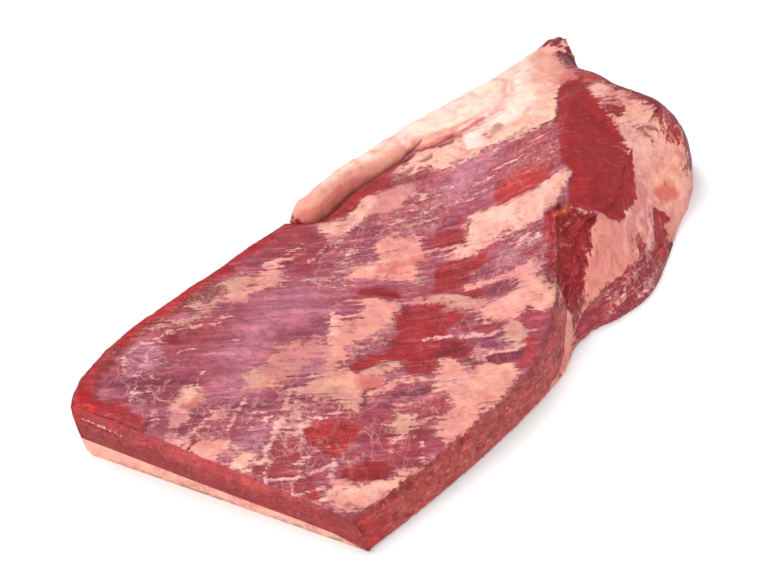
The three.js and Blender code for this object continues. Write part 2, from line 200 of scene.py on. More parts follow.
@dataclass
class Form:
    """The shape of the brisket, in millimetres in the drawing frame, as its solids have it."""

    cut_end: float = -227
    thick_end: float = 245
    end_tuck: float = 3
    end_swell_reach: float = 14  # how far inside its rim the thick end stands full
    fan: float = 0.00103  # how much further apart stations lie for each mm across
    fan_pivot: float = -46  # the place across where they lie as named
    seam_start: float = -19
    point_start: float = 5
    point_end: float = 189
    roll_start: float = -19
    side_bulge: float = 1.6
    crown: float = 2
    foot_round: float = 3
    foot_share: float = 0.1
    foot_height: float = 4
    cut_round: float = 1.6
    end_round_length: float = 20
    end_drop: float = 0.36
    end_drop_far: float = 0.14
    roll_end_drop: float = 0.03
    roll_merge: float = 12
    merge_start: float = 98  # the stations between which the roll joins the lean
    merge_end: float = 124
    end_inward: float = 8
    end_inward_far: float = 9
    end_reach: float = 70
    # Place across, half width and depth of each swell of the thick end in plan.
    end_bulges: tuple[tuple[float, float, float], ...] = ((-82, 54, 28), (-36, 50, 8), (50, 46, 19))
    cap_near: float = 6
    cap_far: float = 13
    cap_sag: float = 1.2
    cap_lip: float = 2.5
    cap_rise: float = 24
    roll_outer: float = 15
    roll_outer_share: float = 0.4
    thinnest: float = 0.7  # the least thickness of a layer inside
    lip_band: float = 1.2
    face_fade: float = 0.13
    face_join: float = 0.18
    # Place along and across, half length, half width, turn and height of each swell on top.
    swells: tuple[tuple[float, ...], ...] = (
        (-150, -60, 70, 34, -40, 2),
        (-95, 20, 90, 30, -42, 1.6),
        (-60, -78, 70, 24, -38, -2.2),
        (-82, -132, 52, 15, -12, 1.6),
        (15, -112, 42, 17, -30, 2.4),
        (20, -30, 90, 24, -32, 2.4),
        (45, 25, 60, 22, -20, 2),
        (95, -38, 80, 14, -26, -2.6),
        (95, -60, 62, 14, -24, 2.6),
        (150, 30, 70, 24, -14, 2.4),
        (215, 30, 60, 34, -20, 2.6),
        (-192, 6, 44, 20, -60, -1.8),
        (-210, -132, 34, 20, -20, 1.6),
    )
    near_foot: Curve = Curve(
        (-228, -149), (-144, -155), (-60, -157), (0, -154), (32, -146), (58, -146), (86, -154),
        (125, -157.5), (165, -148), (208, -133), (240, -121), (262, -106))
    ridge_across: Curve = Curve(
        (-224, -136), (-112, -147), (-45, -147), (0, -138), (43, -120), (84, -94), (133, -61),
        (178, -36), (224, -23), (268, -18))
    ridge_height: Curve = Curve(
        (-224, 24), (-112, 26), (-45, 29), (0, 33), (43, 43), (84, 58), (133, 72), (178, 76),
        (220, 68), (268, 54))
    far_edge: Curve = Curve(
        (-228, 57), (-204, 70), (-160, 79.5), (-110, 79), (-50, 76), (-11, 75), (0, 77),
        (89, 74.5), (135, 69), (180, 60), (228, 52), (262, 56))
    far_height: Curve = Curve(
        (-228, 43), (-160, 39.5), (-88, 38.5), (0, 40), (89, 46), (180, 53), (268, 50))
    far_undercut: Curve = Curve((-228, 10), (-190, 4), (-100, 3), (262, 4))
    top_round: Curve = Curve((-40, 3), (0, 9), (70, 9), (105, 1), (268, 0.8))
    cap_inset: Curve = Curve((-228, 2), (-200, 9), (268, 9))
    roll_inner: Curve = Curve(
        (-20, 74), (-12, 64), (-4, 58), (36, 59), (77, 50), (119, 45), (150, 38), (190, 34),
        (268, 28))
    roll_top: Curve = Curve((-19, 13.3), (-11, 46), (-3, 51), (89, 52), (180, 54), (215, 56), (245, 59))
    roll_cleft: Curve = Curve((-19, 0.2), (-11, 8), (70, 11), (105, 1), (268, 0.4))
    lobe_edge: Curve = Curve(
        (80, 44), (103, 38), (118, 31), (136, 22), (152, 18), (170, 17), (205, 12), (228, 4), (268, -8))
    seam_share: Curve = Curve(
        (-20, 0.15), (0, 0.24), (25, 0.5), (50, 0.72), (80, 0.76), (105, 0.72), (135, 0.58),
        (160, 0.54), (200, 0.6), (240, 0.72), (268, 0.8))
    point_share: Curve = Curve(
        (4, 0.13), (25, 0.26), (50, 0.33), (90, 0.33), (130, 0.27), (160, 0.18), (188, 0.07))
    seam_far: Curve = Curve((-20, 0.7), (60, 9), (268, 12))
    point_far: Curve = Curve((4, 0.7), (60, 6), (130, 6), (188, 0.7))

    def has_seam(self, s: float) -> bool:
        """Tells whether the wedge of seam fat runs through a station."""
        return s >= self.seam_start

    def has_point(self, s: float) -> bool:
        """Tells whether the point muscle runs through a station."""
        return self.point_start <= s <= self.point_end

    def in_space(self, s: float, y: np.ndarray, z: np.ndarray) -> np.ndarray:
        """Returns the places in space of points of the section at station s.

        Args:
            s: The station along the piece, in mm.
            y: The places across, in mm.
            z: The heights, in mm.

        Returns:
            One row of x, y and z per point, in mm.
        """
        late = rise(s, self.thick_end - self.end_reach, self.thick_end)
        x = s * (1 + self.fan * (y - self.fan_pivot))
        for across, width, depth in self.end_bulges:
            x = x + depth * late * bump(y - across, 0, width, 1)
        return np.column_stack([x, y, z])

    def end_round(self, s: float) -> float:
        """Returns how far the thick end has rounded at station s, from 0 to 1."""
        share = np.clip((s - self.thick_end + self.end_round_length) / self.end_round_length, 0, 1)
        return 1 - math.sqrt(1 - share * share)

    def height_factor(self, s: float, side: np.ndarray) -> np.ndarray:
        """Returns the share of its height that a section has, from near side 0 to far side 1."""
        return 1 - lerp(self.end_drop, self.end_drop_far, side) * self.end_round(s)

    def near_side(self, s: float, share: np.ndarray) -> tuple[np.ndarray, np.ndarray]:
        """Returns y and z on the near side, from its foot, share 0, to the ridge, share 1.

        Args:
            s: The station along the piece, in mm.
            share: The shares of the way up the near side.

        Returns:
            The places across and the heights, in mm.
        """
        share = np.asarray(share, float)
        full = rise(s, 185, 262)
        eased = lerp(1, 0.75, rise(s, 20, 120))
        straight = lerp(eased, 0.1, full)
        a = share * math.pi / 2
        inward = lerp((1 - np.cos(a)) ** lerp(1, 1.4, full), share, straight)
        upward = lerp(np.sin(a), share, straight)
        tuck = self.foot_round * np.clip(1 - share / self.foot_share, 0, 1) ** 2
        hollow = bump(s - 92, share - 0.9, 44, 0.3)
        inset = tuck + 4 * hollow + self.end_inward * self.end_round(s)
        y = lerp(self.near_foot(s), self.ridge_across(s), inward)
        z = self.ridge_height(s) * self.height_factor(s, 0) * upward - 1.6 * hollow
        return y + inset - self.side_bulge * np.sin(math.pi * share), z

    def far_side(self, s: float, z: np.ndarray) -> np.ndarray:
        """Returns y of the outer far side at heights z.

        Args:
            s: The station along the piece, in mm.
            z: The heights, in mm.

        Returns:
            The places across, in mm.
        """
        low = 1 - np.clip(z / self.far_height(s), 0, 1)
        tuck = self.foot_round * np.clip(1 - z / self.foot_height, 0, 1) ** 2
        inset = tuck + self.far_undercut(s) * low + self.end_inward_far * self.end_round(s)
        return self.far_edge(s) - inset + self.side_bulge * np.sin(math.pi * low)

    def lean_far(self, s: float, z: np.ndarray) -> np.ndarray:
        """Returns y where the lean ends on the far side: the surface, or inside the roll."""
        far = self.far_side(s, z)
        return np.minimum(far - 1, self.roll_inner(s)) if self.has_seam(s) else far

    def face_height(self, s: float, y: np.ndarray) -> np.ndarray:
        """Returns the height of the upper face at places y, without its rounded far edge.

        Args:
            s: The station along the piece, in mm.
            y: The places across, in mm.

        Returns:
            The height at each place, in mm.
        """
        start = self.ridge_across(s)
        t = (y - start) / (self.far_edge(s) - start)
        side = np.clip(t, 0, 1)
        level = lerp(self.ridge_height(s), self.far_height(s), t)
        edge = self.cut_round * (1 - rise(s, self.cut_end, self.cut_end + self.end_tuck))
        return (level + self.crown * np.sin(math.pi * side)) * self.height_factor(s, side) - edge

    def face_relief(self, s: float, y: np.ndarray) -> np.ndarray:
        """Returns the height of the swells and the bundles of muscle on the upper face.

        Args:
            s: The station along the piece, in mm.
            y: The places across, in mm.

        Returns:
            The height to add at each place, in mm.
        """
        x = self.in_space(s, y, y * 0)[:, 0]
        a = math.radians(lerp(-42, -20, rise(s, -200, 220)))
        beside = -x * math.sin(a) + y * math.cos(a)
        relief = 0.8 * np.sin(2 * math.pi * beside / 31)
        for along, across, length, width, turn, height in self.swells:
            relief += height * bump(x - along, y - across, length, width, turn)
        from_cut = rise(s, self.cut_end, self.cut_end + 24)
        return relief * from_cut * (1 - rise(s, self.thick_end - 24, self.thick_end))

    def rolled_top(self, s: float) -> float:
        """Returns the height of the top of the roll of fat at station s."""
        return float(self.roll_top(s)) * (1 - self.roll_end_drop * self.end_round(s))

    def end_swell(self, y: np.ndarray, z: np.ndarray) -> np.ndarray:
        """Returns how full the thick end stands at points of its face, 0 at its rim to 1.

        Args:
            y: The places of the points across the piece.
            z: Their heights.

        Returns:
            A share of the end's full bulge for each point.
        """
        s = self.thick_end
        near_y, near_z = self.near_side(s, np.linspace(0, 1, 40))
        over_y = np.linspace(near_y[-1], float(self.far_side(s, 0.8 * self.rolled_top(s))), 60)
        over_z = self.face_height(s, over_y)
        over_z = over_z + self.lobe(s, over_y, over_z)
        far_z = np.linspace(over_z[-1], 0, 30)
        ground_y = np.linspace(float(self.far_side(s, 0.0)), near_y[0], 80)
        rim_y = np.concatenate([near_y, over_y, self.far_side(s, far_z), ground_y])
        rim_z = np.concatenate([near_z, over_z, far_z, 0 * ground_y])
        depth = np.hypot(y[:, None] - rim_y, z[:, None] - rim_z).min(axis=1)
        return np.sqrt(1 - (1 - np.clip(depth / self.end_swell_reach, 0, 1)) ** 2)

    def corner_slope(self, s: float, y: np.ndarray) -> np.ndarray:
        """Returns how far the fat falls from the tip of the thick end towards its middle."""
        return 0.2 * rise(s, 212, 240) * np.clip(42 - np.asarray(y, float), 0, 30)

    def merging(self, s: float) -> float:
        """Returns how far the roll has joined the lean at station s, 0 to 1."""
        return float(rise(s, self.merge_start, self.merge_end))

    def lobe(self, s: float, y: np.ndarray, height: np.ndarray) -> np.ndarray:
        """Returns how far the fat rises beside the roll, from the edge of its lobe to its top.

        Args:
            s: The station along the piece, in mm.
            y: The places across, in mm.
            height: The height of the lean under it, in mm.

        Returns:
            The height to add at each place, in mm.
        """
        edge, inner = float(self.lobe_edge(s)), float(self.roll_inner(s))
        rolled = self.rolled_top(s) - self.corner_slope(s, y) - 0.4 - height
        if s > 180:
            rolled = np.maximum(rolled, 0)
        full = max(inner - 4 - self.roll_merge * self.merging(s), edge + 8)
        return rolled * rise(y, edge - 1, full) * rise(s, 78, 108)

    def cap_sheet(self, s: float, y: np.ndarray) -> np.ndarray:
        """Returns the height of the top of the fat cap, or of the ground before its edge.

        Args:
            s: The station along the piece, in mm.
            y: The places across, in mm.

        Returns:
            The height at each place, in mm.
        """
        y = np.asarray(y, float)
        edge = float(self.near_side(s, 0.0)[0]) + self.cap_inset(s)
        far = self.lean_far(s, self.cap_far)
        t = np.clip((y - edge) / (far - edge), 0, 1)
        full = lerp(self.cap_near, self.cap_far, t) - self.cap_sag * np.sin(math.pi * t)
        height = lerp(self.cap_lip, full, rise(y, edge, edge + self.cap_rise))
        height = height * self.height_factor(s, 0)
        return np.where(y < edge - self.lip_band / 2, 0, height)

    def layer_sheet(self, s: float, y: np.ndarray, share: Curve, far_rise: Curve,
                    below: np.ndarray) -> np.ndarray:
        """Returns the height of the top of a layer that thins from the near slope to the far side.

        Args:
            s: The station.
            y: Places across.
            share: The share of the near slope at which its top comes out, along the length.
            far_rise: How far its top stands above the cap on the far side, along the length.
            below: The height of what is under it, at y.

        Returns:
            Heights, at least the thinnest layer above what is below.
        """
        near_y, near_z = self.near_side(s, share(s))
        t = np.clip((y - near_y) / (self.lean_far(s, self.cap_far) - near_y), 0, 1)
        height = lerp(near_z, self.cap_sheet(s, y) + far_rise(s), 1 - (1 - t) ** 2)
        return np.maximum(height, below + self.thinnest)

    def point_sheet(self, s: float, y: np.ndarray) -> np.ndarray:
        """Returns the height of the top of the point muscle, or of the cap where there is none."""
        cap, layer = self.cap_sheet(s, y), (self.point_share, self.point_far)
        return self.layer_sheet(s, y, *layer, cap) if self.has_point(s) else cap

    def seam_sheet(self, s: float, y: np.ndarray) -> np.ndarray:
        """Returns the height of the top of the seam fat, or of what is under it."""
        point, layer = self.point_sheet(s, y), (self.seam_share, self.seam_far)
        return self.layer_sheet(s, y, *layer, point) if self.has_seam(s) else point

    def stations(self, start: float, end: float, spacing: float) -> np.ndarray:
        """Returns evenly spaced stations from start to end, closer together at the object's ends.

        Args:
            start: The first station, in mm.
            end: The last station, in mm.
            spacing: The usual distance between stations, in mm.

        Returns:
            The stations, in mm.
        """
        row = np.linspace(start, end, max(int(round((end - start) / spacing)), 2) + 1)
        if start == self.cut_end:
            row = np.append(row, start + np.array([0.4, 0.9, 2.1]))
        if end == self.thick_end:
            row = np.append(row, end - np.array([0.08, 0.3, 0.7, 2.2]))
        return np.unique(row)


@dataclass(frozen=True)
class Tissue:
    """One kind of surface that raw meat shows, and how it is drawn."""

    colour: str
    fat: float = 0.0  # 0 is lean, 1 is fat
    streak: float = 0.5  # how strongly the fibres show
    crumb: float = 0.0  # how strongly torn crumbs show
    lift: float = 0.0  # height above the lean, in mm
    wet: float = 0.5


class Kind(Enum):
    """The kinds of tissue on this piece."""

    SILVER = Tissue("a24a5a", streak=0.42, lift=0.3, wet=0.6)
    # The pale lilac of the silver-skin, partly a painted sheen of the light on it.
    LILAC_SHEEN = Tissue("c27d8f", streak=0.32, lift=0.4, wet=0.7)
    PLUM = Tissue("7e2d40")
    PURPLE = Tissue("8a3552", wet=0.7)
    MAUVE_RED = Tissue("97333d")
    LEAN = Tissue("9c242a", lift=-0.7)
    LEAN_BRIGHT = Tissue("ac2a2a", streak=0.6, lift=-0.7, wet=0.6)
    LEAN_DARK = Tissue("7a1820", lift=-0.9, wet=0.6)
    SCARLET = Tissue("ad0912", streak=0.2, lift=-0.2, wet=0.9)
    RUST = Tissue("8d241f", streak=0.4, crumb=0.3)
    ROSE = Tissue("ac474c", streak=0.6, crumb=0.5)
    LEATHER = Tissue("9b2126", streak=0.2, lift=-0.3, wet=0.35)
    SIDE = Tissue("a8423e", streak=0.15, crumb=0.3, wet=0.35)
    CUT = Tissue("b83b3d", streak=0.25, crumb=0.05, wet=0.6)
    CUT_DARK = Tissue("861a20", streak=0.25, crumb=0.06)
    HOLLOW = Tissue("8a0f18", crumb=0.12, lift=-1.6, wet=1.0)
    # A dark line painted as the shade in a slit or crease, which is also sunk into the relief.
    SLIT_SHADE = Tissue("63141a", streak=0.2, lift=-1.4, wet=0.6)
    BROWN = Tissue("84463a", streak=0.4, crumb=0.3, wet=0.2)
    STALE = Tissue("a08a6c", fat=1.0, streak=0.2, crumb=0.5, lift=0.3, wet=0.2)
    DRIED = Tissue("732330", streak=0.3, crumb=0.1, wet=0.3)
    ORANGE = Tissue("cb5a30", streak=0.3, crumb=0.6, wet=0.9)
    SALMON = Tissue("cc6a60", fat=0.6, streak=0.4, lift=0.3, wet=0.6)
    PINK_FAT = Tissue("d98f84", fat=1.0, streak=0.42, lift=0.9)
    PINK_VEIL = Tissue("c67d7a", fat=0.7, streak=0.4, lift=0.5, wet=0.6)
    CREAM_FAT = Tissue("e2a596", fat=1.0, streak=0.36, lift=1.1)
    BEIGE_FAT = Tissue("cb9080", fat=0.9, crumb=0.3, lift=0.8, wet=0.4)
    PALE_FAT = Tissue("e7af9c", fat=1.0, streak=0.24, lift=1.0)
    WHITE_FAT = Tissue("f5cfc0", fat=1.0, streak=0.06, lift=1.0)
    PEACH_FAT = Tissue("e3a08e", fat=1.0, streak=0.15, lift=0.8)
    SEAM = Tissue("d28479", fat=1.0, wet=0.6)
    SEAM_CREAM = Tissue("dda093", fat=1.0, streak=0.4, lift=0.1)
    SINEW = Tissue("e0a29c", fat=0.6, lift=0.7, wet=0.8)
    GREY = Tissue("b08276", fat=0.5, streak=0.6, crumb=0.45, lift=0.5, wet=0.3)
    SPOT = Tissue("93594f", fat=0.5, streak=0.2, lift=-0.8, wet=0.3)


@dataclass(frozen=True)
class Patch:
    """A patch of tissue with an outline in plan, or a strand along a line if it has a width."""

    kind: Kind
    outline: tuple[tuple[float, float], ...]
    width: float = 0.0  # over 0 makes it a strand
    soft: float = 1.6  # width of its edge
    ragged: float = 2.2  # how far its edge strays
    cover: float = 1.0
    crumbly: float = 0.0  # share of it that crumbs away
    lift: float = 0.0  # more height than its tissue has
    grow: float = 0.0  # how far it spreads past its outline


def corners(path: str) -> tuple[tuple[float, float], ...]:
    """Returns the corners of a path written as pairs of along,across in mm."""
    return tuple((float(x), float(y)) for x, y in (pair.split(",") for pair in path.split()))


def area(kind: Kind, soft: float, ragged: float, cover: float, outline: str,
         crumbly: float = 0.0, lift: float = 0.0) -> Patch:
    """Returns a patch of tissue.

    Args:
        kind: The tissue.
        soft: The width of its edge.
        ragged: How far its edge strays.
        cover: How much of it shows.
        outline: Its corners in plan.
        crumbly: The share of it that crumbs away.
        lift: More height than its tissue has.

    Returns:
        The patch.
    """
    return Patch(kind, corners(outline), 0.0, soft, ragged, cover, crumbly, lift)


def strand(kind: Kind, width: float, ragged: float, cover: float, line: str, soft: float = 1.6,
           crumbly: float = 0.0, lift: float = 0.0) -> Patch:
    """Returns a strand of tissue.

    Args:
        kind: The tissue.
        width: How wide it is.
        ragged: How far its edge strays.
        cover: How much of it shows.
        line: The points that it runs along, in plan.
        soft: The width of its edge.
        crumbly: The share of it that crumbs away.
        lift: More height than its tissue has.

    Returns:
        The patch.
    """
    return Patch(kind, corners(line), width, soft, ragged, cover, crumbly, lift)


def depth_inside(x: np.ndarray, y: np.ndarray, patch: Patch) -> np.ndarray:
    """Returns how far each place lies inside a patch, in mm, and less than 0 outside it.

    Args:
        x: Places along.
        y: Places across.
        patch: The patch or strand.

    Returns:
        One depth for each place.
    """
    points = np.array(patch.outline)
    ends = points[1:] if patch.width > 0 else np.roll(points, -1, axis=0)
    nearest = np.full(len(x), 1e9)
    inside = np.zeros(len(x), bool)
    for (x0, y0), (x1, y1) in zip(points, ends):
        run, climb = x1 - x0, y1 - y0
        share = np.clip(((x - x0) * run + (y - y0) * climb) / (run * run + climb * climb), 0, 1)
        gap = np.hypot(x - x0 - share * run, y - y0 - share * climb)
        nearest = np.minimum(nearest, gap)
        if patch.width == 0 and y0 != y1:
            crossing = ((y0 > y) != (y1 > y)) & (x < x0 + (y - y0) / climb * run)
            inside ^= crossing
    if patch.width > 0:
        return patch.width / 2 - nearest
    return np.where(inside, nearest, -nearest)


class Canvas:
    """The paint on one piece: a colour and a few measures for each of its points."""

    def __init__(self, x: np.ndarray, y: np.ndarray, z: np.ndarray, across: np.ndarray,
                 along: np.ndarray, seed: int) -> None:
        """Lays out the noise that every patch on the piece shares.

        Args:
            x: Places along, in the drawing frame.
            y: Places across.
            z: Heights.
            across: Places across the fibres.
            along: Places along the fibres.
            seed: Any whole number.
        """
        self.x, self.y = x, y
        self.across, self.along = across, along
        solid = np.column_stack([x, y, z])
        self.streaky = Noise(seed)(plane(across, along, 2.4, 22), 2)
        self.broad_streaky = Noise(seed + 1)(plane(across, along, 6, 70), 2)
        self.crumbly = Noise(seed + 2)(solid / 4.5, 3)
        self.blotchy = Noise(seed + 3)(solid / 16, 3)
        self.lumpy = Noise(seed + 7)(solid / 8, 2)
        self.fine = Noise(seed + 4)(solid / 2.6, 2)
        self.drift_x = x + 2.6 * Noise(seed + 5)(solid / 11, 2)
        self.drift_y = y + 2.0 * Noise(seed + 6)(solid / 11, 2)
        self.under = np.tile(linear(Kind.LEAN.value.colour), (len(x), 1))
        self.over = np.tile(linear(Kind.SINEW.value.colour), (len(x), 1))
        self.fat, self.streak, self.crumb, self.lift, self.wet, self.net = np.zeros((6, len(x)))

    def lay(self, kind: Kind, cover: np.ndarray, lift: float = 0.0) -> None:
        """Lays a tissue over what is there: lean below, fat on top of it.

        Args:
            kind: The tissue.
            cover: How much of it shows at each point, 0 to 1.
            lift: Height to add to the tissue's own.
        """
        tissue = kind.value
        cover = np.clip(cover, 0, 1)
        colour = linear(tissue.colour)[None, :]
        if tissue.fat > 0:
            self.over = lerp(self.over, colour, np.clip(cover * 2, 0, 1)[:, None])
        else:
            self.under = lerp(self.under, colour, cover[:, None])
        self.fat = lerp(self.fat, float(tissue.fat > 0), cover)
        self.streak = lerp(self.streak, tissue.streak, cover)
        self.crumb = lerp(self.crumb, tissue.crumb, cover)
        self.lift = lerp(self.lift, tissue.lift + lift, cover)
        self.wet = lerp(self.wet, tissue.wet, cover)
        if abs(tissue.lift) > 0.6:
            self.net = self.net * (1 - 0.7 * cover)

    def cover(self, patch: Patch) -> np.ndarray:
        """Returns how much of a patch shows at each point, with its ragged edge.

        Args:
            patch: The patch.

        Returns:
            The cover at each point, 0 to 1.
        """
        points = np.array(patch.outline)
        margin = patch.width + patch.soft + 2 * patch.ragged + 2
        low, high = points.min(axis=0) - margin, points.max(axis=0) + margin
        near = (self.x > low[0]) & (self.x < high[0]) & (self.y > low[1]) & (self.y < high[1])
        shown = np.zeros(len(self.x))
        depth = depth_inside(self.drift_x[near], self.drift_y[near], patch) + patch.grow
        stray = 0.6 * self.streaky[near] + 0.5 * self.crumbly[near]
        strays, soft = 1.5 * patch.ragged, max(1.5 * patch.soft, 4.0)
        if patch.width > 0:
            strays, soft = min(patch.ragged, 0.5 * patch.width), max(patch.soft, 3.2)
        elif patch.kind.value.fat > 0:
            soft = max(2 * patch.soft, 8.0)
        shown[near] = rise(depth + strays * stray, -soft / 2, soft / 2)
        if patch.crumbly > 0:
            left = rise(self.crumbly[near] + 0.5 * self.streaky[near], -0.15, 0.15)
            shown[near] *= 1 - patch.crumbly * (1 - left)
        return shown * patch.cover

    def paint(self, patches: tuple[Patch, ...], where: np.ndarray | float = 1.0) -> None:
        """Lays patches one after another, only as far as where says.

        Args:
            patches: The patches, the lowest first.
            where: The share at each point, 0 to 1.
        """
        for patch in patches:
            if patch.kind.value.fat >= 0.9 and patch.width == 0:
                veil = replace(patch, grow=4.0, soft=7.0, ragged=4.0)
                self.lay(Kind.PINK_VEIL, 0.5 * self.cover(veil) * where)
            self.lay(patch.kind, self.cover(patch) * where, patch.lift)

    def weave(self, amount: np.ndarray) -> None:
        """Lays a torn net of pale strands and flecks over the lean, as much as amount says.

        Args:
            amount: The share at each point, 0 to 1.
        """
        self.net = np.maximum(self.net, amount)
        self.lay(Kind.PINK_VEIL, 0.35 * amount * rise(self.crumbly, 0.3, 0.8))
        for turn, long, wide, seed in ((27, 26, 6.0, 91), (-36, 34, 4.5, 92), (58, 18, 5.5, 93)):
            a = math.radians(turn)
            along = self.drift_x * math.cos(a) + self.drift_y * math.sin(a)
            beside = -self.drift_x * math.sin(a) + self.drift_y * math.cos(a)
            lines = np.abs(Noise(seed)(plane(beside, along, wide, long), 2))
            broken = rise(Noise(seed + 10)(plane(beside, along, 14, 22), 2), -0.15, 0.3)
            self.lay(Kind.SINEW, 0.6 * amount * broken * rise(0.15 - lines, 0.0, 0.12))

    def vary(self, blotch: float = 0.16, streak: float = 0.2, fine: float = 0.06) -> None:
        """Varies the lightness of the colour: in blotches, along the fibres and in fine grains.

        Args:
            blotch: How strong the blotches are.
            streak: How strong the streaks are.
            fine: How strong the grains are.
        """
        shade = 1 + blotch * self.blotchy + streak * self.streak * self.broad_streaky
        shade += 0.7 * streak * self.streak * self.streaky + fine * self.fine
        shade = np.clip(shade, 0.45, 1.6)
        self.under = np.clip(self.under * shade[:, None], 0, 1)
        shade = 1 + 0.5 * (shade - 1)
        self.over = np.clip(self.over * shade[:, None], 0, 1)
        broken = rise(0.6 * self.streaky + 0.6 * self.broad_streaky, -0.1, 0.8)
        self.fat = self.fat * (1 - 0.34 * broken * rise(self.streak, 0.3, 0.4))
        # Pinker where the lumps sink: partly stains, partly a painted shade in the hollows.
        stain_and_shade = linear(Kind.SALMON.value.colour)[None, :]
        self.over = lerp(self.over, stain_and_shade, 0.3 * rise(-self.lumpy, 0.05, 0.7)[:, None])
        warm = 0.06 * self.blotchy
        for colour in (self.under, self.over):
            colour[:, 1] *= 1 + warm
            colour[:, 2] *= 1 - warm

    def relief(self) -> np.ndarray:
        """Returns how far each point stands out from the smooth form, in mm.

        Returns:
            The distance of each point, in mm.
        """
        lean = (1 - self.fat) * self.streak * (0.26 * self.streaky + 0.3 * self.broad_streaky)
        crumbs = (0.22 + 0.5 * self.crumb) * self.crumbly
        lumps = (0.15 + 0.4 * self.fat) * self.lumpy
        return self.lift + lean + crumbs + lumps + 0.12 * self.fine + 0.3 * self.blotchy


class Skin:
    """A closed skin over rows of section outlines, drawn in to a core at both ends."""

    def __init__(self, form: Form, stations: np.ndarray, section: Callable[[float], Section],
                 end_rows: int, back_bulge: float = 0.0) -> None:
        """Builds the grid of points.

        Args:
            form: The shape of the brisket.
            stations: Where the sections stand.
            section: A function that returns the Section at a station.
            end_rows: How many rows close each end.
            back_bulge: How far the middle of the thick end stands out, in mm.
        """
        rows, self.station, self.drawn = [], [], []
        for s in stations:
            self._add(rows, form, s, section(s), 0.0, 0.0)
        first, last = section(stations[0]), section(stations[-1])
        for step in range(1, end_rows + 1):
            share = step / end_rows
            front: list[np.ndarray] = []
            self._add(front, form, stations[0], first, share, 0.0, at_start=True)
            rows.insert(0, front[0])
            self._add(rows, form, stations[-1], last, -share, back_bulge)
        self.points = np.array(rows)
        self.station = np.array(self.station)
        self.drawn = np.array(self.drawn)
        self.rows, self.columns = self.points.shape[:2]

    def _add(self, rows: list[np.ndarray], form: Form, s: float, outline: Section, drawn: float,
             bulge: float, at_start: bool = False) -> None:
        """Adds one row of points, drawn in by a share towards its core.

        Args:
            rows: The rows so far, which get one more.
            form: The shape of the brisket.
            s: The station along the piece, in mm.
            outline: The outline of the section.
            drawn: The share by which the row is drawn in, below zero at the thick end.
            bulge: How far the row stands out along the piece, in mm.
            at_start: Whether the row goes before the others.
        """
        share = abs(drawn)
        y = lerp(outline.y, outline.core_y, share)
        z = lerp(outline.z, outline.core_z, share)
        row = form.in_space(s, y, z)
        if bulge > 0:
            row[:, 0] += bulge * form.end_swell(y, z)
        rows.append(row)
        place = 0 if at_start else len(self.station)
        self.station.insert(place, s)
        self.drawn.insert(place, drawn)

    def faces(self) -> np.ndarray:
        """Returns the four corners of every face, outward.

        Returns:
            One row of four point numbers per face.
        """
        i, j = np.meshgrid(np.arange(self.rows - 1), np.arange(self.columns), indexing="ij")
        nxt = (j + 1) % self.columns
        a, b = i * self.columns + j, i * self.columns + nxt
        return np.stack([a, b, b + self.columns, a + self.columns], axis=-1).reshape(-1, 4)

    def normals(self) -> np.ndarray:
        """Returns the outward direction at each point.

        Returns:
            One direction of length 1 per point.
        """
        points = self.points.reshape(-1, 3)
        faces = self.faces()
        turn = np.cross(points[faces[:, 2]] - points[faces[:, 0]],
                        points[faces[:, 3]] - points[faces[:, 1]])
        total = np.zeros_like(points)
        for corner in range(4):
            for axis in range(3):
                total[:, axis] += np.bincount(faces[:, corner], turn[:, axis], len(points))
        return total / np.maximum(np.linalg.norm(total, axis=1), 1e-9)[:, None]

    def flat(self, values: np.ndarray) -> np.ndarray:
        """Returns one value of each row, repeated for each of its points."""
        return np.repeat(values, self.columns)

    def column_numbers(self) -> np.ndarray:
        """Returns the number of its column for each point."""
        return np.tile(np.arange(self.columns), self.rows)

    def unwrapped(self) -> tuple[np.ndarray, np.ndarray]:
        """Returns the place of each row and column on an unwrapped square, 0 to 1.

        Returns:
            The places along and around.
        """
        along = np.linalg.norm(np.diff(self.points, axis=0), axis=2).mean(axis=1)
        loop = np.concatenate([self.points, self.points[:, :1]], axis=1)
        around = np.linalg.norm(np.diff(loop, axis=1), axis=2).mean(axis=0)
        u = np.concatenate([[0], np.cumsum(along)])
        v = np.concatenate([[0], np.cumsum(around)])
        return u / u[-1], v / v[-1]


def to_part(points: np.ndarray) -> np.ndarray:
    """Returns places of the drawing frame as metres in the part's own frame."""
    return (points - ORIGIN) * MM


Socket = bpy.types.NodeSocket
Value = Socket | float | tuple


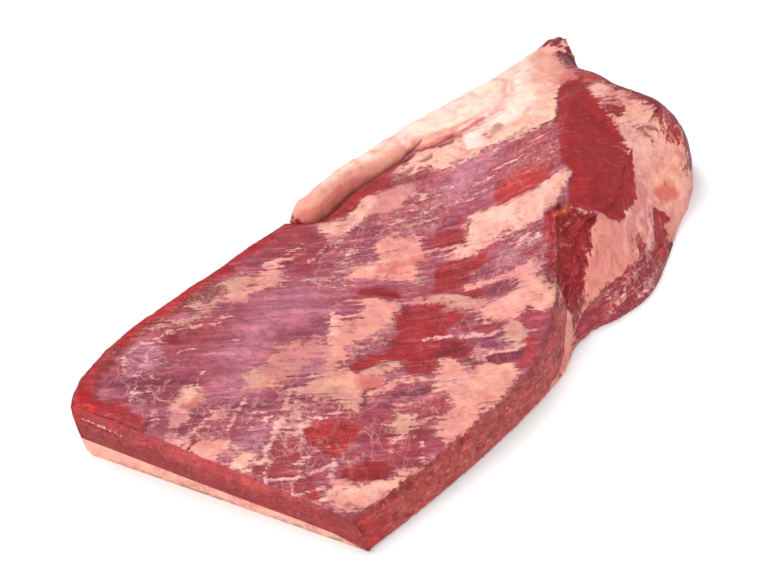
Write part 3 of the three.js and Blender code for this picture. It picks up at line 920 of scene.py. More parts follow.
class Nodes:
    """A small hand for wiring a material's nodes."""

    def __init__(self, name: str) -> None:
        """Makes an empty material with an output and a main shader.

        Args:
            name: The material's name.
        """
        self.material = bpy.data.materials.new(name)
        self.material.use_nodes = True
        self.tree = self.material.node_tree
        self.shader = self.tree.nodes["Principled BSDF"]

    def put(self, socket: Socket, value: Value) -> None:
        """Links an output into a socket, or sets a plain value on it.

        Args:
            socket: The input.
            value: The output, number, vector or colour.
        """
        if isinstance(value, Socket):
            self.tree.links.new(value, socket)
        else:
            socket.default_value = value

    def node(self, kind: str, inputs: dict[int | str, Value], output: int | str = 0,
             **settings: object) -> Socket:
        """Adds a node and fills its inputs.

        Args:
            kind: The node's type.
            inputs: What goes into each input, by number or name.
            output: The number or name of the output that is wanted.
            **settings: Its properties.

        Returns:
            The output.
        """
        node = self.tree.nodes.new(kind)
        for name, value in settings.items():
            setattr(node, name, value)
        for socket, value in inputs.items():
            self.put(node.inputs[socket], value)
        return node.outputs[output]

    def attribute(self, name: str, output: str) -> Socket:
        """Returns an output of a stored attribute of the mesh."""
        return self.node("ShaderNodeAttribute", {}, output, attribute_name=name)

    def maths(self, operation: str, first: Value, second: Value = 0.0, clamp: bool = False,
              third: Value = 0.0) -> Socket:
        """Returns a sum, product or other result of two or three values."""
        inputs = {0: first, 1: second, 2: third}
        return self.node("ShaderNodeMath", inputs, operation=operation, use_clamp=clamp)

    def times(self, first: Value, second: Value) -> Socket:
        """Returns the product of two values."""
        return self.maths("MULTIPLY", first, second)

    def vectors(self, operation: str, first: Socket, second: Value) -> Socket:
        """Returns the result of two vectors."""
        return self.node("ShaderNodeVectorMath", {0: first, 1: second}, operation=operation)

    def noise(self, vector: Socket, scale: float, detail: float = 3.0,
              rough: float = 0.55) -> Socket:
        """Returns noise of about 0 to 1 at a vector."""
        inputs = {"Vector": vector, "Scale": scale, "Detail": detail, "Roughness": rough}
        return self.node("ShaderNodeTexNoise", inputs, "Fac")

    def ranged(self, value: Socket, low: float, high: float, start: float = 0.0,
               end: float = 1.0) -> Socket:
        """Returns a smooth step of a value from low to high, mapped to start and end."""
        inputs = {0: value, 1: low, 2: high, 3: start, 4: end}
        return self.node("ShaderNodeMapRange", inputs, interpolation_type="SMOOTHSTEP")

    def blend(self, share: Value, first: Value, second: Value) -> Socket:
        """Returns a mix of two colours."""
        return self.node("ShaderNodeMix", {0: share, 6: first, 7: second}, 2, data_type="RGBA")

    def tint(self, colour: Socket, share: Socket, digits: str) -> Socket:
        """Returns a colour mixed with another that is written as hexadecimal digits."""
        return self.blend(share, colour, (*linear(digits), 1))

    def around(self, value: Socket, spread: float) -> Socket:
        """Returns a noise value as a spread to both sides of zero."""
        return self.times(self.maths("SUBTRACT", value, 0.5), spread)

    def total(self, *values: Value) -> Socket:
        """Returns the sum of several values."""
        return reduce(lambda result, value: self.maths("ADD", value, result), values)

    def brighten(self, colour: Socket, factor: Value) -> Socket:
        """Returns a colour multiplied by a value."""
        return self.node("ShaderNodeVectorMath", {0: colour, "Scale": factor}, operation="SCALE")

    def drifted(self, vector: Socket, place: Socket, scale: float, reach: float) -> Socket:
        """Pushes a vector about by noise, so that lines wander.

        Args:
            vector: The vector.
            place: Where the noise is read.
            scale: The scale of the noise.
            reach: How far it pushes.

        Returns:
            The moved vector.
        """
        inputs = {"Vector": place, "Scale": scale, "Detail": 2.0}
        wander = self.node("ShaderNodeTexNoise", inputs, "Color")
        centred = self.vectors("SUBTRACT", wander, (0.5, 0.5, 0.5))
        return self.vectors("ADD", vector, self.vectors("MULTIPLY", centred, (reach, reach, reach)))

    def strands(self, place: Socket, turn: float, wide: float, long: float,
                thin: float) -> Socket:
        """Makes thin broken lines.

        Args:
            place: The place on the piece.
            turn: The way they run, in degrees.
            wide: The distance between them, in metres.
            long: Their length, in metres.
            thin: How thin they are.

        Returns:
            1 on the lines and 0 beside them.
        """
        inputs = {"Vector": place, "Angle": -math.radians(turn)}
        turned = self.node("ShaderNodeVectorRotate", inputs, rotation_type="Z_AXIS")
        scaled = self.vectors("MULTIPLY", turned, (1 / long, 1 / wide, 1 / wide))
        line = self.noise(self.drifted(scaled, place, 80.0, 0.5), 1.0, 1.0)
        line = self.ranged(self.maths("ABSOLUTE", self.maths("SUBTRACT", line, 0.5)), thin, 0.0)
        return self.times(line, self.ranged(self.noise(scaled, 1.7, 2.0), 0.44, 0.6))


@dataclass(frozen=True)
class RawMeat:
    """The finish of raw lean and fat, which reads its tissue from the paint on the mesh."""

    name: str = "raw_meat"
    roughness: tuple[float, float] = (0.55, 0.38)  # dry and wet
    coat: float = 0.07
    coat_roughness: float = 0.26
    gloss: float = 0.3
    depth_of_light: float = 0.12  # weight of the light that goes into the surface
    light_reach: tuple[float, float, float] = (1.0, 0.3, 0.22)
    light_scale: float = 0.0025
    bump_height: float = 0.0011
    membrane: str = "dcb0b4"  # pale lines of silver-skin
    # The gap colour is also the painted shade tinted into the creases.
    gap: str = "77151f"  # lean that shows between them
    # Pink where fat thins, partly a painted shade in the low places of its grain.
    stain_and_shade: str = "c46a5f"  # pink where fat thins
    crumb_colour: str = "e2b3a8"
    strand: str = "e6b4ab"  # the torn net of membrane

    def build(self) -> bpy.types.Material:
        """Builds the material.

        Returns:
            The material, ready to put on a piece.
        """
        n = Nodes(self.name)
        under = n.attribute("under", "Color")
        over = n.attribute("over", "Color")
        split = n.node("ShaderNodeSeparateColor", {0: n.attribute("tissue", "Color")})
        fat, streak, crumb = split.node.outputs
        wet = n.attribute("tissue", "Alpha")
        place = n.node("ShaderNodeTexCoord", {}, "Object")
        grain = n.drifted(n.attribute("grain", "Vector"), place, 95.0, 5.0)

        wide = n.noise(n.vectors("MULTIPLY", grain, (0.17, 0.013, 0.1)), 1.0, 3.0)
        fibre = n.noise(n.vectors("MULTIPLY", grain, (0.48, 0.032, 0.3)), 1.0, 5.0, 0.6)
        thread = n.noise(n.vectors("MULTIPLY", grain, (1.4, 0.1, 0.8)), 1.0, 3.0)
        fold = n.noise(n.vectors("MULTIPLY", grain, (0.2, 0.075, 0.2)), 1.0, 4.0, 0.6)
        crumbs = n.noise(place, 360.0, 4.0, 0.6)
        pores = n.noise(place, 1300.0, 2.0)
        cloud = n.noise(place, 95.0, 3.0)

        crease = n.maths("ABSOLUTE", n.maths("SUBTRACT", fold, 0.5))
        crease = n.ranged(crease, 0.035, 0.0)
        lines = n.total(n.around(fibre, 1.2), n.around(thread, 0.5), n.around(wide, 1.5))
        lines = n.times(lines, streak)
        shade = n.total(1.0, lines, n.around(cloud, 0.7), n.around(crumbs, 0.35))
        lean = n.brighten(under, shade)
        gaps = n.times(n.ranged(fibre, 0.46, 0.32), streak)
        lean = n.tint(lean, n.times(gaps, 0.45), self.gap)
        pale = n.times(n.ranged(fibre, 0.54, 0.68), streak)
        lean = n.tint(lean, n.times(pale, 0.32), self.membrane)
        flecks = n.times(n.ranged(crumbs, 0.53, 0.64), crumb)
        lean = n.tint(lean, n.times(flecks, 0.7), self.crumb_colour)
        pits = n.times(n.ranged(crumbs, 0.46, 0.34), crumb)
        lean = n.tint(lean, n.times(pits, 0.7), self.gap)

        grains = n.times(n.around(crumbs, 1.0), n.ranged(crumb, 0.0, 1.0, 0.12, 0.7))
        fatty = n.total(1.0, n.around(cloud, 0.35), grains, n.times(n.around(fibre, 0.8), streak))
        fatty = n.brighten(over, fatty)
        # Pink on the fat: partly stains, partly a painted shade in the hollows of its grain.
        stain_and_shade_mask = n.total(n.around(cloud, 1.0), n.around(crumbs, 0.9), n.around(fibre, 0.8))
        stain_and_shade_mask = n.times(n.ranged(stain_and_shade_mask, -0.02, -0.3), n.ranged(streak, 0.05, 0.5, 0.12, 0.7))
        fatty = n.tint(fatty, stain_and_shade_mask, self.stain_and_shade)

        tear = n.total(n.around(crumbs, 1.5), n.around(fibre, 2.4), n.around(fold, 1.2))
        window = n.times(n.ranged(fat, 0.0, 0.3), n.ranged(fat, 1.0, 0.7))
        tear = n.times(tear, n.maths("MULTIPLY_ADD", window, 0.7, third=0.3))
        covered = n.ranged(n.maths("ADD", fat, tear), 0.22, 0.8)
        colour = n.blend(covered, lean, fatty)
        net = n.maths("MAXIMUM", n.strands(place, 24.0, 0.008, 0.04, 0.04),
                      n.strands(place, -38.0, 0.008, 0.034, 0.04))
        net = n.maths("MAXIMUM", net, n.strands(place, 62.0, 0.011, 0.034, 0.035))
        net = n.times(net, n.attribute("over", "Alpha"))
        colour = n.tint(colour, n.times(net, 0.45), self.strand)
        # Painted shade: the creases of the folds are tinted dark where no fat covers them, and sunk in the
        # bump.
        bare = n.maths("SUBTRACT", 1.0, n.times(covered, 0.8))
        crease_shade = n.times(n.times(crease, 0.3), bare)
        colour = n.tint(colour, crease_shade, self.gap)

        dry, moist = self.roughness
        gloss = n.ranged(wet, 0.0, 1.0, dry, moist)
        gloss = n.maths("ADD", gloss, n.around(crumbs, 0.3), clamp=True)

        fibres = n.maths("ADD", n.times(fibre, 0.9), n.times(thread, 0.3))
        height = n.total(
            n.times(fibres, streak),
            n.times(crumbs, n.ranged(crumb, 0.0, 1.0, 0.5, 1.1)),
            n.times(covered, 0.45),
            n.times(net, 0.4),
            n.times(crease_shade, -0.8),
            n.times(pores, 0.08))
        bumps = {"Strength": 0.85, "Distance": self.bump_height, "Height": height}
        for name, value in {
                "Base Color": colour,
                "Roughness": gloss,
                "Normal": n.node("ShaderNodeBump", bumps),
                "Specular IOR Level": self.gloss,
                "Coat Weight": self.coat,
                "Coat Roughness": self.coat_roughness,
                "Subsurface Weight": self.depth_of_light,
                "Subsurface Radius": self.light_reach,
                "Subsurface Scale": self.light_scale}.items():
            n.put(n.shader.inputs[name], value)
        return n.material


@dataclass(frozen=True)
class PaleFloor:
    """The plain pale floor that the piece is shown on."""

    colour: tuple[float, float, float] = (0.92, 0.92, 0.92)
    size: float = 12.0

    def build(self) -> bpy.types.Object:
        """Builds the floor on the ground.

        Returns:
            The floor.
        """
        half = self.size / 2
        square = [(-half, -half, 0), (half, -half, 0), (half, half, 0), (-half, half, 0)]
        mesh = bpy.data.meshes.new("floor")
        mesh.from_pydata(square, [], [(0, 1, 2, 3)])
        floor = bpy.data.objects.new("floor", mesh)
        bpy.context.scene.collection.objects.link(floor)
        n = Nodes("pale_floor")
        n.put(n.shader.inputs["Base Color"], (*self.colour, 1))
        n.put(n.shader.inputs["Roughness"], 0.9)
        floor.data.materials.append(n.material)
        return floor


def make_piece(name: str, skin: Skin, canvas: Canvas, push: np.ndarray,
               finish: bpy.types.Material, nodes: tuple[str, ...]) -> bpy.types.Object:
    """Makes the Blender object of a skin.

    Args:
        name: The piece's name.
        skin: Its grid of points.
        canvas: Its paint.
        push: How far each point moves out along its normal, in mm.
        finish: Its material.
        nodes: The solids that it stands for.

    Returns:
        The object.
    """
    points = skin.points.reshape(-1, 3) + skin.normals() * push[:, None]
    points[:, 2] = np.maximum(points[:, 2], 0.0)
    faces = skin.faces()
    mesh = bpy.data.meshes.new(name)
    mesh.vertices.add(len(points))
    mesh.vertices.foreach_set("co", to_part(points).ravel())
    mesh.loops.add(faces.size)
    mesh.loops.foreach_set("vertex_index", faces.ravel())
    mesh.polygons.add(len(faces))
    mesh.polygons.foreach_set("loop_start", np.arange(0, faces.size, 4))
    mesh.polygons.foreach_set("use_smooth", np.ones(len(faces), bool))
    mesh.update(calc_edges=True)
    ones = np.ones(len(points))
    under = mesh.attributes.new("under", "FLOAT_COLOR", "POINT")
    under.data.foreach_set("color", np.column_stack([canvas.under, ones]).ravel())
    over = mesh.attributes.new("over", "FLOAT_COLOR", "POINT")
    over.data.foreach_set("color", np.column_stack([canvas.over, canvas.net]).ravel())
    tissue = mesh.attributes.new("tissue", "FLOAT_COLOR", "POINT")
    measures = np.column_stack([canvas.fat, canvas.streak, canvas.crumb, canvas.wet])
    tissue.data.foreach_set("color", np.clip(measures, 0, 1).ravel())
    grain = mesh.attributes.new("grain", "FLOAT_VECTOR", "POINT")
    lines = np.column_stack([canvas.across, canvas.along, points[:, 2]])
    grain.data.foreach_set("vector", lines.ravel())
    u, v = skin.unwrapped()
    row, column = np.divmod(faces, skin.columns)
    column[:, 1:3] = column[:, [0, 0]] + 1
    sheet = mesh.uv_layers.new(name="OFBake")
    sheet.data.foreach_set("uv", np.stack([u[row], v[column]], axis=-1).ravel())
    mesh.materials.append(finish)
    piece = bpy.data.objects.new(name, mesh)
    bpy.context.scene.collection.objects.link(piece)
    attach(piece, "root")
    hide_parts(*nodes)
    return piece


def fibre_places(x: np.ndarray, y: np.ndarray) -> tuple[np.ndarray, np.ndarray]:
    """Returns places across and along the fibres of the upper face, which turn along the length.

    Args:
        x: The places along the piece, in mm.
        y: The places across, in mm.

    Returns:
        The places across and the places along the fibres, in mm.
    """
    row = np.arange(-300.0, 320.0, 2.0)
    turn = np.radians(lerp(-43, -20, rise(row, -200, 220)))
    drift = np.concatenate([[0], np.cumsum(np.tan(turn[:-1]) * 2.0)])
    across = y - np.interp(x, row, drift)
    steep = np.interp(x, row, np.cos(turn))
    return across * steep, x / steep


FACE_PATCHES = (
    # The mauve and plum of the silver-skin, in broad soft areas, with lilac that is partly a painted
    # sheen.
    area(Kind.LILAC_SHEEN, 26, 5, 0.55, "-150,12 -125,22 -95,32 -70,20 -60,2 -85,-8 -110,-2 -135,-8"),
    area(Kind.LILAC_SHEEN, 20, 4, 0.5, "-185,-8 -150,10 -140,-5 -170,-30"),
    area(Kind.PLUM, 16, 5, 0.85, "-228,56 -205,54 -190,40 -185,16 -200,12 -226,20"),
    area(Kind.MAUVE_RED, 12, 4, 0.9, "-176,58 -140,48 -128,38 -150,34 -172,40"),
    area(Kind.MAUVE_RED, 10, 4, 0.95, "-72,60 -20,62 -14,50 -18,26 -55,22 -66,40"),
    area(Kind.MAUVE_RED, 12, 4, 0.9, "-225,-60 -180,-66 -182,-100 -215,-108"),
    area(Kind.MAUVE_RED, 10, 4, 0.9, "-156,-96 -124,-100 -118,-140 -158,-142"),
    area(Kind.PLUM, 6, 3, 0.6, "-166,-34 -148,-36 -144,-44 -164,-46"),
    area(Kind.MAUVE_RED, 8, 4, 0.7, "-152,-58 -128,-60 -130,-98 -154,-92"),
    area(Kind.ROSE, 14, 5, 0.5, "0,20 60,14 80,26 84,8 60,-16 20,-18"),
    area(Kind.LILAC_SHEEN, 12, 4, 0.5, "64,2 96,4 122,-12 112,-20 80,-20 60,-12"),
    area(Kind.PURPLE, 8, 4, 0.7, "-24,12 -6,14 4,22 16,16 10,2 -20,-4"),
    area(Kind.MAUVE_RED, 10, 4, 0.5, "0,-60 40,-62 72,-74 66,-96 30,-90 0,-78"),

    # The far rim and the red corner.
    area(Kind.RUST, 6, 3, 0.9, "-246,66 -200,82 -100,84 -100,64 -150,62 -176,66 -205,62 -238,50"),
    area(Kind.SCARLET, 4, 3, 0.85, "-190,84 -92,84 -90,72 -120,70 -160,73 -190,70"),
    area(Kind.LEAN, 6, 4, 0.9, "-104,84 -20,82 -16,62 -60,66 -96,64"),
    area(Kind.SCARLET, 5, 4, 0.65, "-96,82 -44,80 -46,70 -92,68"),
    area(Kind.LEAN, 4, 2.5, 1, "-250,44 -236,44 -229,34 -230,12 -238,3 -250,0"),
    area(Kind.LEAN_BRIGHT, 5, 2.5, 0.9, "-246,66 -226,74 -206,74 -208,62 -232,52 -240,44"),
    area(Kind.SCARLET, 4, 2, 1, "-252,56 -246,64 -238,62 -236,50 -238,40 -250,38"),
    strand(Kind.SLIT_SHADE, 1.8, 0.6, 1, "-238,5 -228,8"),
    strand(Kind.DRIED, 5, 2.5, 0.6, "-240,46 -222,60 -206,64"),

    # Pale strands near the red corner.
    area(Kind.LILAC_SHEEN, 3, 4, 0.75, "-212,46 -200,62 -178,64 -172,52 -182,42 -196,40", crumbly=0.6),
    strand(Kind.SINEW, 3, 2.4, 0.7, "-206,52 -196,61 -180,62 -172,56"),
    strand(Kind.SINEW, 2.2, 2, 0.6, "-205,44 -190,48 -178,54"),
    strand(Kind.SINEW, 1.8, 1.8, 0.55, "-228,28 -212,36 -198,46"),
    strand(Kind.SINEW, 1.6, 1.6, 0.5, "-222,16 -208,28 -194,38"),
    strand(Kind.SINEW, 4, 1.5, 0.7, "-219,33 -214,31"),
    strand(Kind.SINEW, 2.6, 1.6, 0.6, "-233,4 -218,13"),
    strand(Kind.SINEW, 1.8, 1.4, 0.6, "-236,1 -226,4 -214,14"),
    strand(Kind.CREAM_FAT, 1.6, 1, 0.6, "-176,34 -170,38 -162,32"),

    # Fat along the cut end.
    area(Kind.BEIGE_FAT, 1.6, 2.2, 1,
         "-222,-8 -215,-1 -210,6 -204,11 -194,12 -187,9 -187,4 -192,0 -200,-2 -207,-4 -214,-7"),
    strand(Kind.CREAM_FAT, 7, 2.2, 0.7, "-214,-4 -204,4 -194,7", soft=5),
    strand(Kind.SALMON, 4, 2.2, 0.8, "-206,-1 -196,0"),
    strand(Kind.SINEW, 2, 1.6, 0.7, "-186,6 -180,11 -174,13"),
    strand(Kind.PINK_VEIL, 8, 2.5, 0.8, "-236,-14 -224,-8 -216,-4", soft=4),
    strand(Kind.SINEW, 2.6, 1.4, 0.85, "-232,-20 -212,-19 -190,-19"),
    strand(Kind.BEIGE_FAT, 6, 2, 1, "-201,-21 -194,-22"),
    area(Kind.PLUM, 4, 2.5, 0.7, "-230,-10 -210,-10 -202,-16 -222,-18"),
    area(Kind.PINK_FAT, 1.6, 2.2, 1, "-234,-23 -222,-24 -213,-31 -214,-40 -220,-47 -228,-46 -232,-34"),
    strand(Kind.SLIT_SHADE, 1.8, 0.8, 0.8, "-232,-26 -223,-25"),
    strand(Kind.SINEW, 2.8, 1.6, 0.85, "-216,-43 -202,-34 -184,-27 -172,-22"),
    strand(Kind.SLIT_SHADE, 1.2, 0.6, 0.5, "-196,-32 -180,-29"),
    area(Kind.PINK_VEIL, 4, 4, 0.45, "-212,-36 -196,-28 -180,-22 -172,-12 -176,-8 -188,-16 -206,-24"),
    area(Kind.LILAC_SHEEN, 5, 3, 0.6, "-222,-48 -200,-44 -186,-52 -200,-58"),
    area(Kind.CREAM_FAT, 1.6, 2.2, 1, "-224,-57 -218,-54 -212,-52 -205,-57 -211,-62 -217,-61 -223,-67"),
    strand(Kind.SINEW, 4, 2.2, 0.9, "-212,-68 -198,-63 -184,-57 -170,-52 -154,-43"),
    area(Kind.BEIGE_FAT, 2.4, 3, 0.8,
         "-184,-64 -172,-60 -160,-50 -150,-42 -146,-46 -158,-58 -170,-66", crumbly=0.4),
    strand(Kind.SINEW, 2.6, 2, 0.6, "-192,-44 -182,-50 -174,-56"),
    strand(Kind.SINEW, 2, 1.4, 0.6, "-190,-38 -180,-39"),
    strand(Kind.SINEW, 2, 1.4, 0.6, "-210,-74 -198,-66"),
    strand(Kind.SINEW, 2.6, 1.4, 0.7, "-220,-80 -210,-73"),
    strand(Kind.SINEW, 2.2, 1.8, 0.75, "-216,-80 -208,-88 -200,-95 -190,-97 -180,-101"),
    strand(Kind.SINEW, 2.4, 1.6, 0.6, "-214,-97 -204,-92 -198,-90"),
    strand(Kind.SINEW, 2.4, 1.4, 0.8, "-214,-98 -206,-104 -198,-107"),
    strand(Kind.SINEW, 4, 2, 0.6, "-192,-85 -186,-84", crumbly=0.5),
    area(Kind.LEAN_BRIGHT, 2, 2.2, 1, "-212,-103 -204,-104 -202,-109 -210,-112"),

    # The orange-red lean and what lies round it.
    area(Kind.LEAN_BRIGHT, 2, 2, 1,
         "-177,-75 -170,-70 -162,-69 -154,-75 -148,-83 -144,-93 -152,-98 -166,-101 -180,-98 -176,-88"),
    area(Kind.RUST, 4, 3, 0.5, "-176,-82 -150,-84 -156,-96 -178,-96"),
    area(Kind.SALMON, 4, 3, 0.35, "-176,-80 -166,-80 -160,-88 -168,-96 -178,-94", crumbly=0.6),
    strand(Kind.SINEW, 3, 1.6, 0.8, "-180,-76 -172,-69 -162,-67 -152,-72 -142,-82 -134,-84"),
    area(Kind.ROSE, 3, 2, 0.8, "-184,-104 -166,-102 -158,-108 -166,-112 -184,-108"),
    area(Kind.LEAN, 2, 2, 1,
         "-188,-111 -178,-108 -168,-110 -159,-116 -156,-124 -160,-134 -168,-134 -174,-128 -180,-121"),
    strand(Kind.LEAN_DARK, 5, 2.2, 0.6, "-176,-120 -166,-132", soft=4),
    strand(Kind.SINEW, 4, 1.8, 0.85, "-178,-100 -186,-104 -190,-110 -186,-117"),
    area(Kind.PINK_FAT, 2, 1.6, 1,
         "-208,-113 -200,-113 -192,-112 -188,-117 -184,-123 -177,-129 -168,-136 -158,-139 -148,-141 "
         "-134,-143 -134,-146 -165,-146 -178,-141 -188,-138 -196,-131 -204,-128 -206,-120"),
    strand(Kind.PALE_FAT, 5, 2.2, 0.5, "-206,-114 -196,-115", soft=4),
    strand(Kind.CREAM_FAT, 7, 2.2, 0.6, "-196,-120 -184,-128 -166,-140", soft=6),
    strand(Kind.SPOT, 2.4, 2.2, 0.5, "-199,-127 -194,-131"),

    # The large veils of pink fat in the middle.
    area(Kind.PINK_VEIL, 6, 4, 0.85,
         "-170,-18 -160,-9 -152,-12 -140,-10 -122,-6 -108,-14 -98,-24 -104,-44 -128,-42 -150,-34 "
         "-166,-28"),
    area(Kind.BEIGE_FAT, 4, 2.5, 0.7, "-164,-16 -158,-9 -150,-14 -150,-24 -160,-24"),
    area(Kind.PLUM, 5, 3, 0.45, "-122,0 -112,2 -102,-8 -96,-18 -108,-20 -120,-12"),
    area(Kind.LILAC_SHEEN, 5, 3, 0.6, "-132,-34 -112,-32 -104,-42 -124,-46"),
    area(Kind.PINK_FAT, 3, 2.6, 1,
         "-102,-30 -92,-25 -86,-20 -80,-19 -77,-27 -70,-31 -60,-30 -54,-24 -48,-30 -41,-42 -46,-47 "
         "-58,-51 -72,-54 -86,-52 -100,-48 -112,-50 -116,-44 -104,-38"),
    strand(Kind.CREAM_FAT, 6, 2.2, 0.7, "-98,-32 -90,-28 -84,-21", soft=5),
    strand(Kind.LILAC_SHEEN, 7, 3, 0.5, "-96,-46 -76,-52 -62,-56", soft=5, crumbly=0.3),
    area(Kind.PURPLE, 3, 1.6, 0.6, "-79,-18 -66,-17 -61,-24 -66,-30 -73,-27"),
    strand(Kind.SINEW, 1.8, 1.2, 0.7, "-84,-14 -76,-20 -68,-30"),
    strand(Kind.SINEW, 2.6, 1.6, 0.6, "-76,-12 -62,-16 -56,-21"),
    area(Kind.BEIGE_FAT, 3, 3, 0.95,
         "-142,-46 -128,-44 -114,-50 -108,-56 -112,-62 -112,-72 -124,-79 -134,-84 -142,-80 -136,-70 "
         "-142,-58"),
    area(Kind.PEACH_FAT, 6, 2.5, 0.85, "-128,-58 -114,-60 -114,-70 -128,-76"),
    area(Kind.SALMON, 5, 2.6, 0.85, "-116,-68 -104,-64 -98,-74 -106,-82 -120,-80"),
    strand(Kind.SLIT_SHADE, 2.2, 0.5, 1, "-128,-84 -124,-81 -119,-79"),
    area(Kind.BROWN, 3, 1.5, 0.6, "-128,-84 -118,-80 -112,-84 -120,-87"),

    # The large red lean in the middle and the fat above the near edge.
    area(Kind.LEAN, 1.8, 1.8, 1,
         "-112,-60 -104,-57 -97,-56 -88,-60 -80,-62 -71,-63 -62,-60 -57,-53 -48,-50 -38,-50 -31,-52 "
         "-26,-57 -19,-63 -17,-68 -22,-71 -28,-70 -24,-76 -17,-83 -20,-88 -30,-85 -38,-85 -45,-88 "
         "-40,-94 -37,-100 -42,-107 -50,-109 -57,-106 -58,-98 -65,-96 -72,-103 -80,-98 -87,-92 -90,-88 "
         "-84,-82 -82,-78 -86,-71 -95,-68 -102,-66"),
    area(Kind.LEAN_BRIGHT, 4, 2, 0.8, "-110,-62 -98,-58 -88,-62 -84,-72 -96,-68"),
    area(Kind.LEAN_DARK, 5, 2, 0.8, "-60,-90 -44,-88 -38,-98 -44,-107 -58,-104"),
    area(Kind.BEIGE_FAT, 2, 2.5, 0.75,
         "-109,-67 -100,-68 -91,-70 -85,-74 -83,-79 -93,-80 -103,-76", crumbly=0.35),
    strand(Kind.GREY, 5, 3, 0.5, "-108,-54 -96,-52 -82,-56 -70,-60 -58,-54 -42,-46", crumbly=0.5),
    strand(Kind.SINEW, 2.2, 1.2, 0.7, "-56,-76 -48,-84 -40,-90"),
    strand(Kind.SINEW, 1.6, 1.2, 0.4, "-20,-64 -30,-57 -36,-52"),
    strand(Kind.PINK_FAT, 4.5, 2, 0.9, "-119,-83 -108,-87 -98,-88 -90,-94 -85,-102 -82,-110"),
    area(Kind.PLUM, 2.4, 1.6, 0.9,
         "-116,-93 -108,-92 -98,-95 -92,-101 -83,-110 -88,-112 -98,-109 -108,-104 -116,-98"),
    strand(Kind.PINK_FAT, 4, 2, 0.7, "-118,-100 -110,-106 -100,-110 -92,-116"),
    area(Kind.ROSE, 3, 2.5, 0.9, "-120,-108 -104,-108 -92,-116 -90,-126 -104,-130 -118,-122"),
    area(Kind.BEIGE_FAT, 2, 1.6, 1, "-135,-116 -130,-108 -122,-107 -118,-112 -120,-119 -128,-120"),
    strand(Kind.SINEW, 3, 2, 0.5, "-120,-112 -110,-122 -104,-132"),
    strand(Kind.SINEW, 1.8, 1.6, 0.6, "-150,-124 -140,-118 -132,-118"),
    strand(Kind.SINEW, 1.8, 1.6, 0.6, "-142,-140 -134,-136 -128,-130"),
    area(Kind.PINK_FAT, 1.8, 1.4, 1,
         "-120,-145 -113,-132 -100,-131 -90,-130 -88,-122 -84,-112 -80,-105 -72,-104 -65,-103 -60,-108 "
         "-62,-117 -52,-118 -47,-122 -42,-130 -37,-136 -42,-142 -50,-146 -62,-148 -76,-148 -80,-144 "
         "-85,-144 -92,-148 -105,-149"),
    strand(Kind.CREAM_FAT, 9, 2.2, 0.5, "-84,-112 -74,-116 -66,-122", soft=8),
    strand(Kind.PEACH_FAT, 12, 2.2, 0.6, "-70,-128 -52,-130 -44,-138", soft=10),
    area(Kind.BROWN, 2, 1, 1, "-60,-110 -55,-109 -50,-116 -48,-121 -56,-117"),
    area(Kind.PINK_VEIL, 2.4, 1.6, 0.9, "-48,-110 -40,-110 -36,-116 -44,-120"),
    area(Kind.PURPLE, 2.2, 1.2, 1,
         "-39,-113 -31,-108 -22,-107 -15,-113 -17,-122 -22,-129 -28,-126 -33,-120"),
    area(Kind.DRIED, 2, 1.2, 1,
         "-47,-122 -42,-120 -36,-125 -32,-131 -22,-133 -16,-135 -25,-139 -33,-140 -38,-134 -43,-128"),
    area(Kind.PURPLE, 3, 2.2, 0.7, "-37,-132 -28,-136 -26,-140 -34,-140"),
    strand(Kind.SINEW, 2.6, 1.2, 0.85, "-42,-118 -34,-124 -26,-131 -18,-132"),
    strand(Kind.SINEW, 2.6, 1.2, 0.8, "-38,-95 -30,-103 -20,-112"),
    area(Kind.MAUVE_RED, 3, 2, 0.8, "-36,-86 -18,-90 -6,-106 -14,-114 -26,-104"),
    area(Kind.BEIGE_FAT, 2, 2, 1, "-21,-120 -15,-114 -5,-115 0,-120 -2,-128 -10,-130 -20,-131 -24,-129"),
    area(Kind.SCARLET, 3, 1.5, 0.6, "-18,-130 -6,-129 -6,-135 -18,-136"),
    area(Kind.LEAN_BRIGHT, 3, 1.5, 0.6, "-38,-142 -20,-134 -4,-130 -6,-138 -30,-148"),

    # Veils and strands between the middle and the far side.
    area(Kind.BROWN, 6, 4, 0.7, "-134,70 -106,70 -104,54 -122,52 -134,56"),
    area(Kind.BEIGE_FAT, 2, 1.8, 1, "-104,55 -100,61 -94,62 -88,58 -83,52 -82,49 -90,47 -100,45 -108,47"),
    strand(Kind.SLIT_SHADE, 1.6, 0.6, 0.7, "-104,45 -94,45 -84,48"),
    strand(Kind.PINK_VEIL, 4.5, 1.8, 0.9, "-118,53 -113,50 -107,42 -103,37"),
    area(Kind.BEIGE_FAT, 2.4, 2, 0.9, "-164,67 -157,66 -146,58 -134,54 -122,52 -128,48 -142,52 -156,60"),
    area(Kind.BEIGE_FAT, 3, 3, 0.6, "-140,60 -130,66 -120,64 -124,56", crumbly=0.5),
    area(Kind.LEAN_DARK, 2, 1.4, 0.8, "-168,53 -162,56 -154,51 -160,46 -168,49"),
    strand(Kind.SINEW, 2, 1.2, 0.8, "-170,58 -160,57 -150,48 -144,43"),
    strand(Kind.SINEW, 4.5, 2.4, 0.6, "-136,38 -128,38 -122,34", crumbly=0.4),
    strand(Kind.SINEW, 3, 1.6, 0.5, "-142,20 -136,16"),
    area(Kind.PINK_FAT, 2, 3.2, 0.9,
         "-102,41 -90,45 -76,48 -68,50 -60,50 -52,46 -48,42 -56,43 -64,42 -70,36 -71,29 "
         "-80,27 -85,33 -92,37", crumbly=0.3),
    strand(Kind.SINEW, 3, 2.4, 0.7, "-66,52 -56,48 -46,49 -38,45 -32,46"),
    strand(Kind.SINEW, 2.6, 2.2, 0.7, "-48,32 -38,30 -28,30 -18,33", crumbly=0.2),
    strand(Kind.SLIT_SHADE, 1.8, 0.7, 0.8, "-31,29 -24,28"),
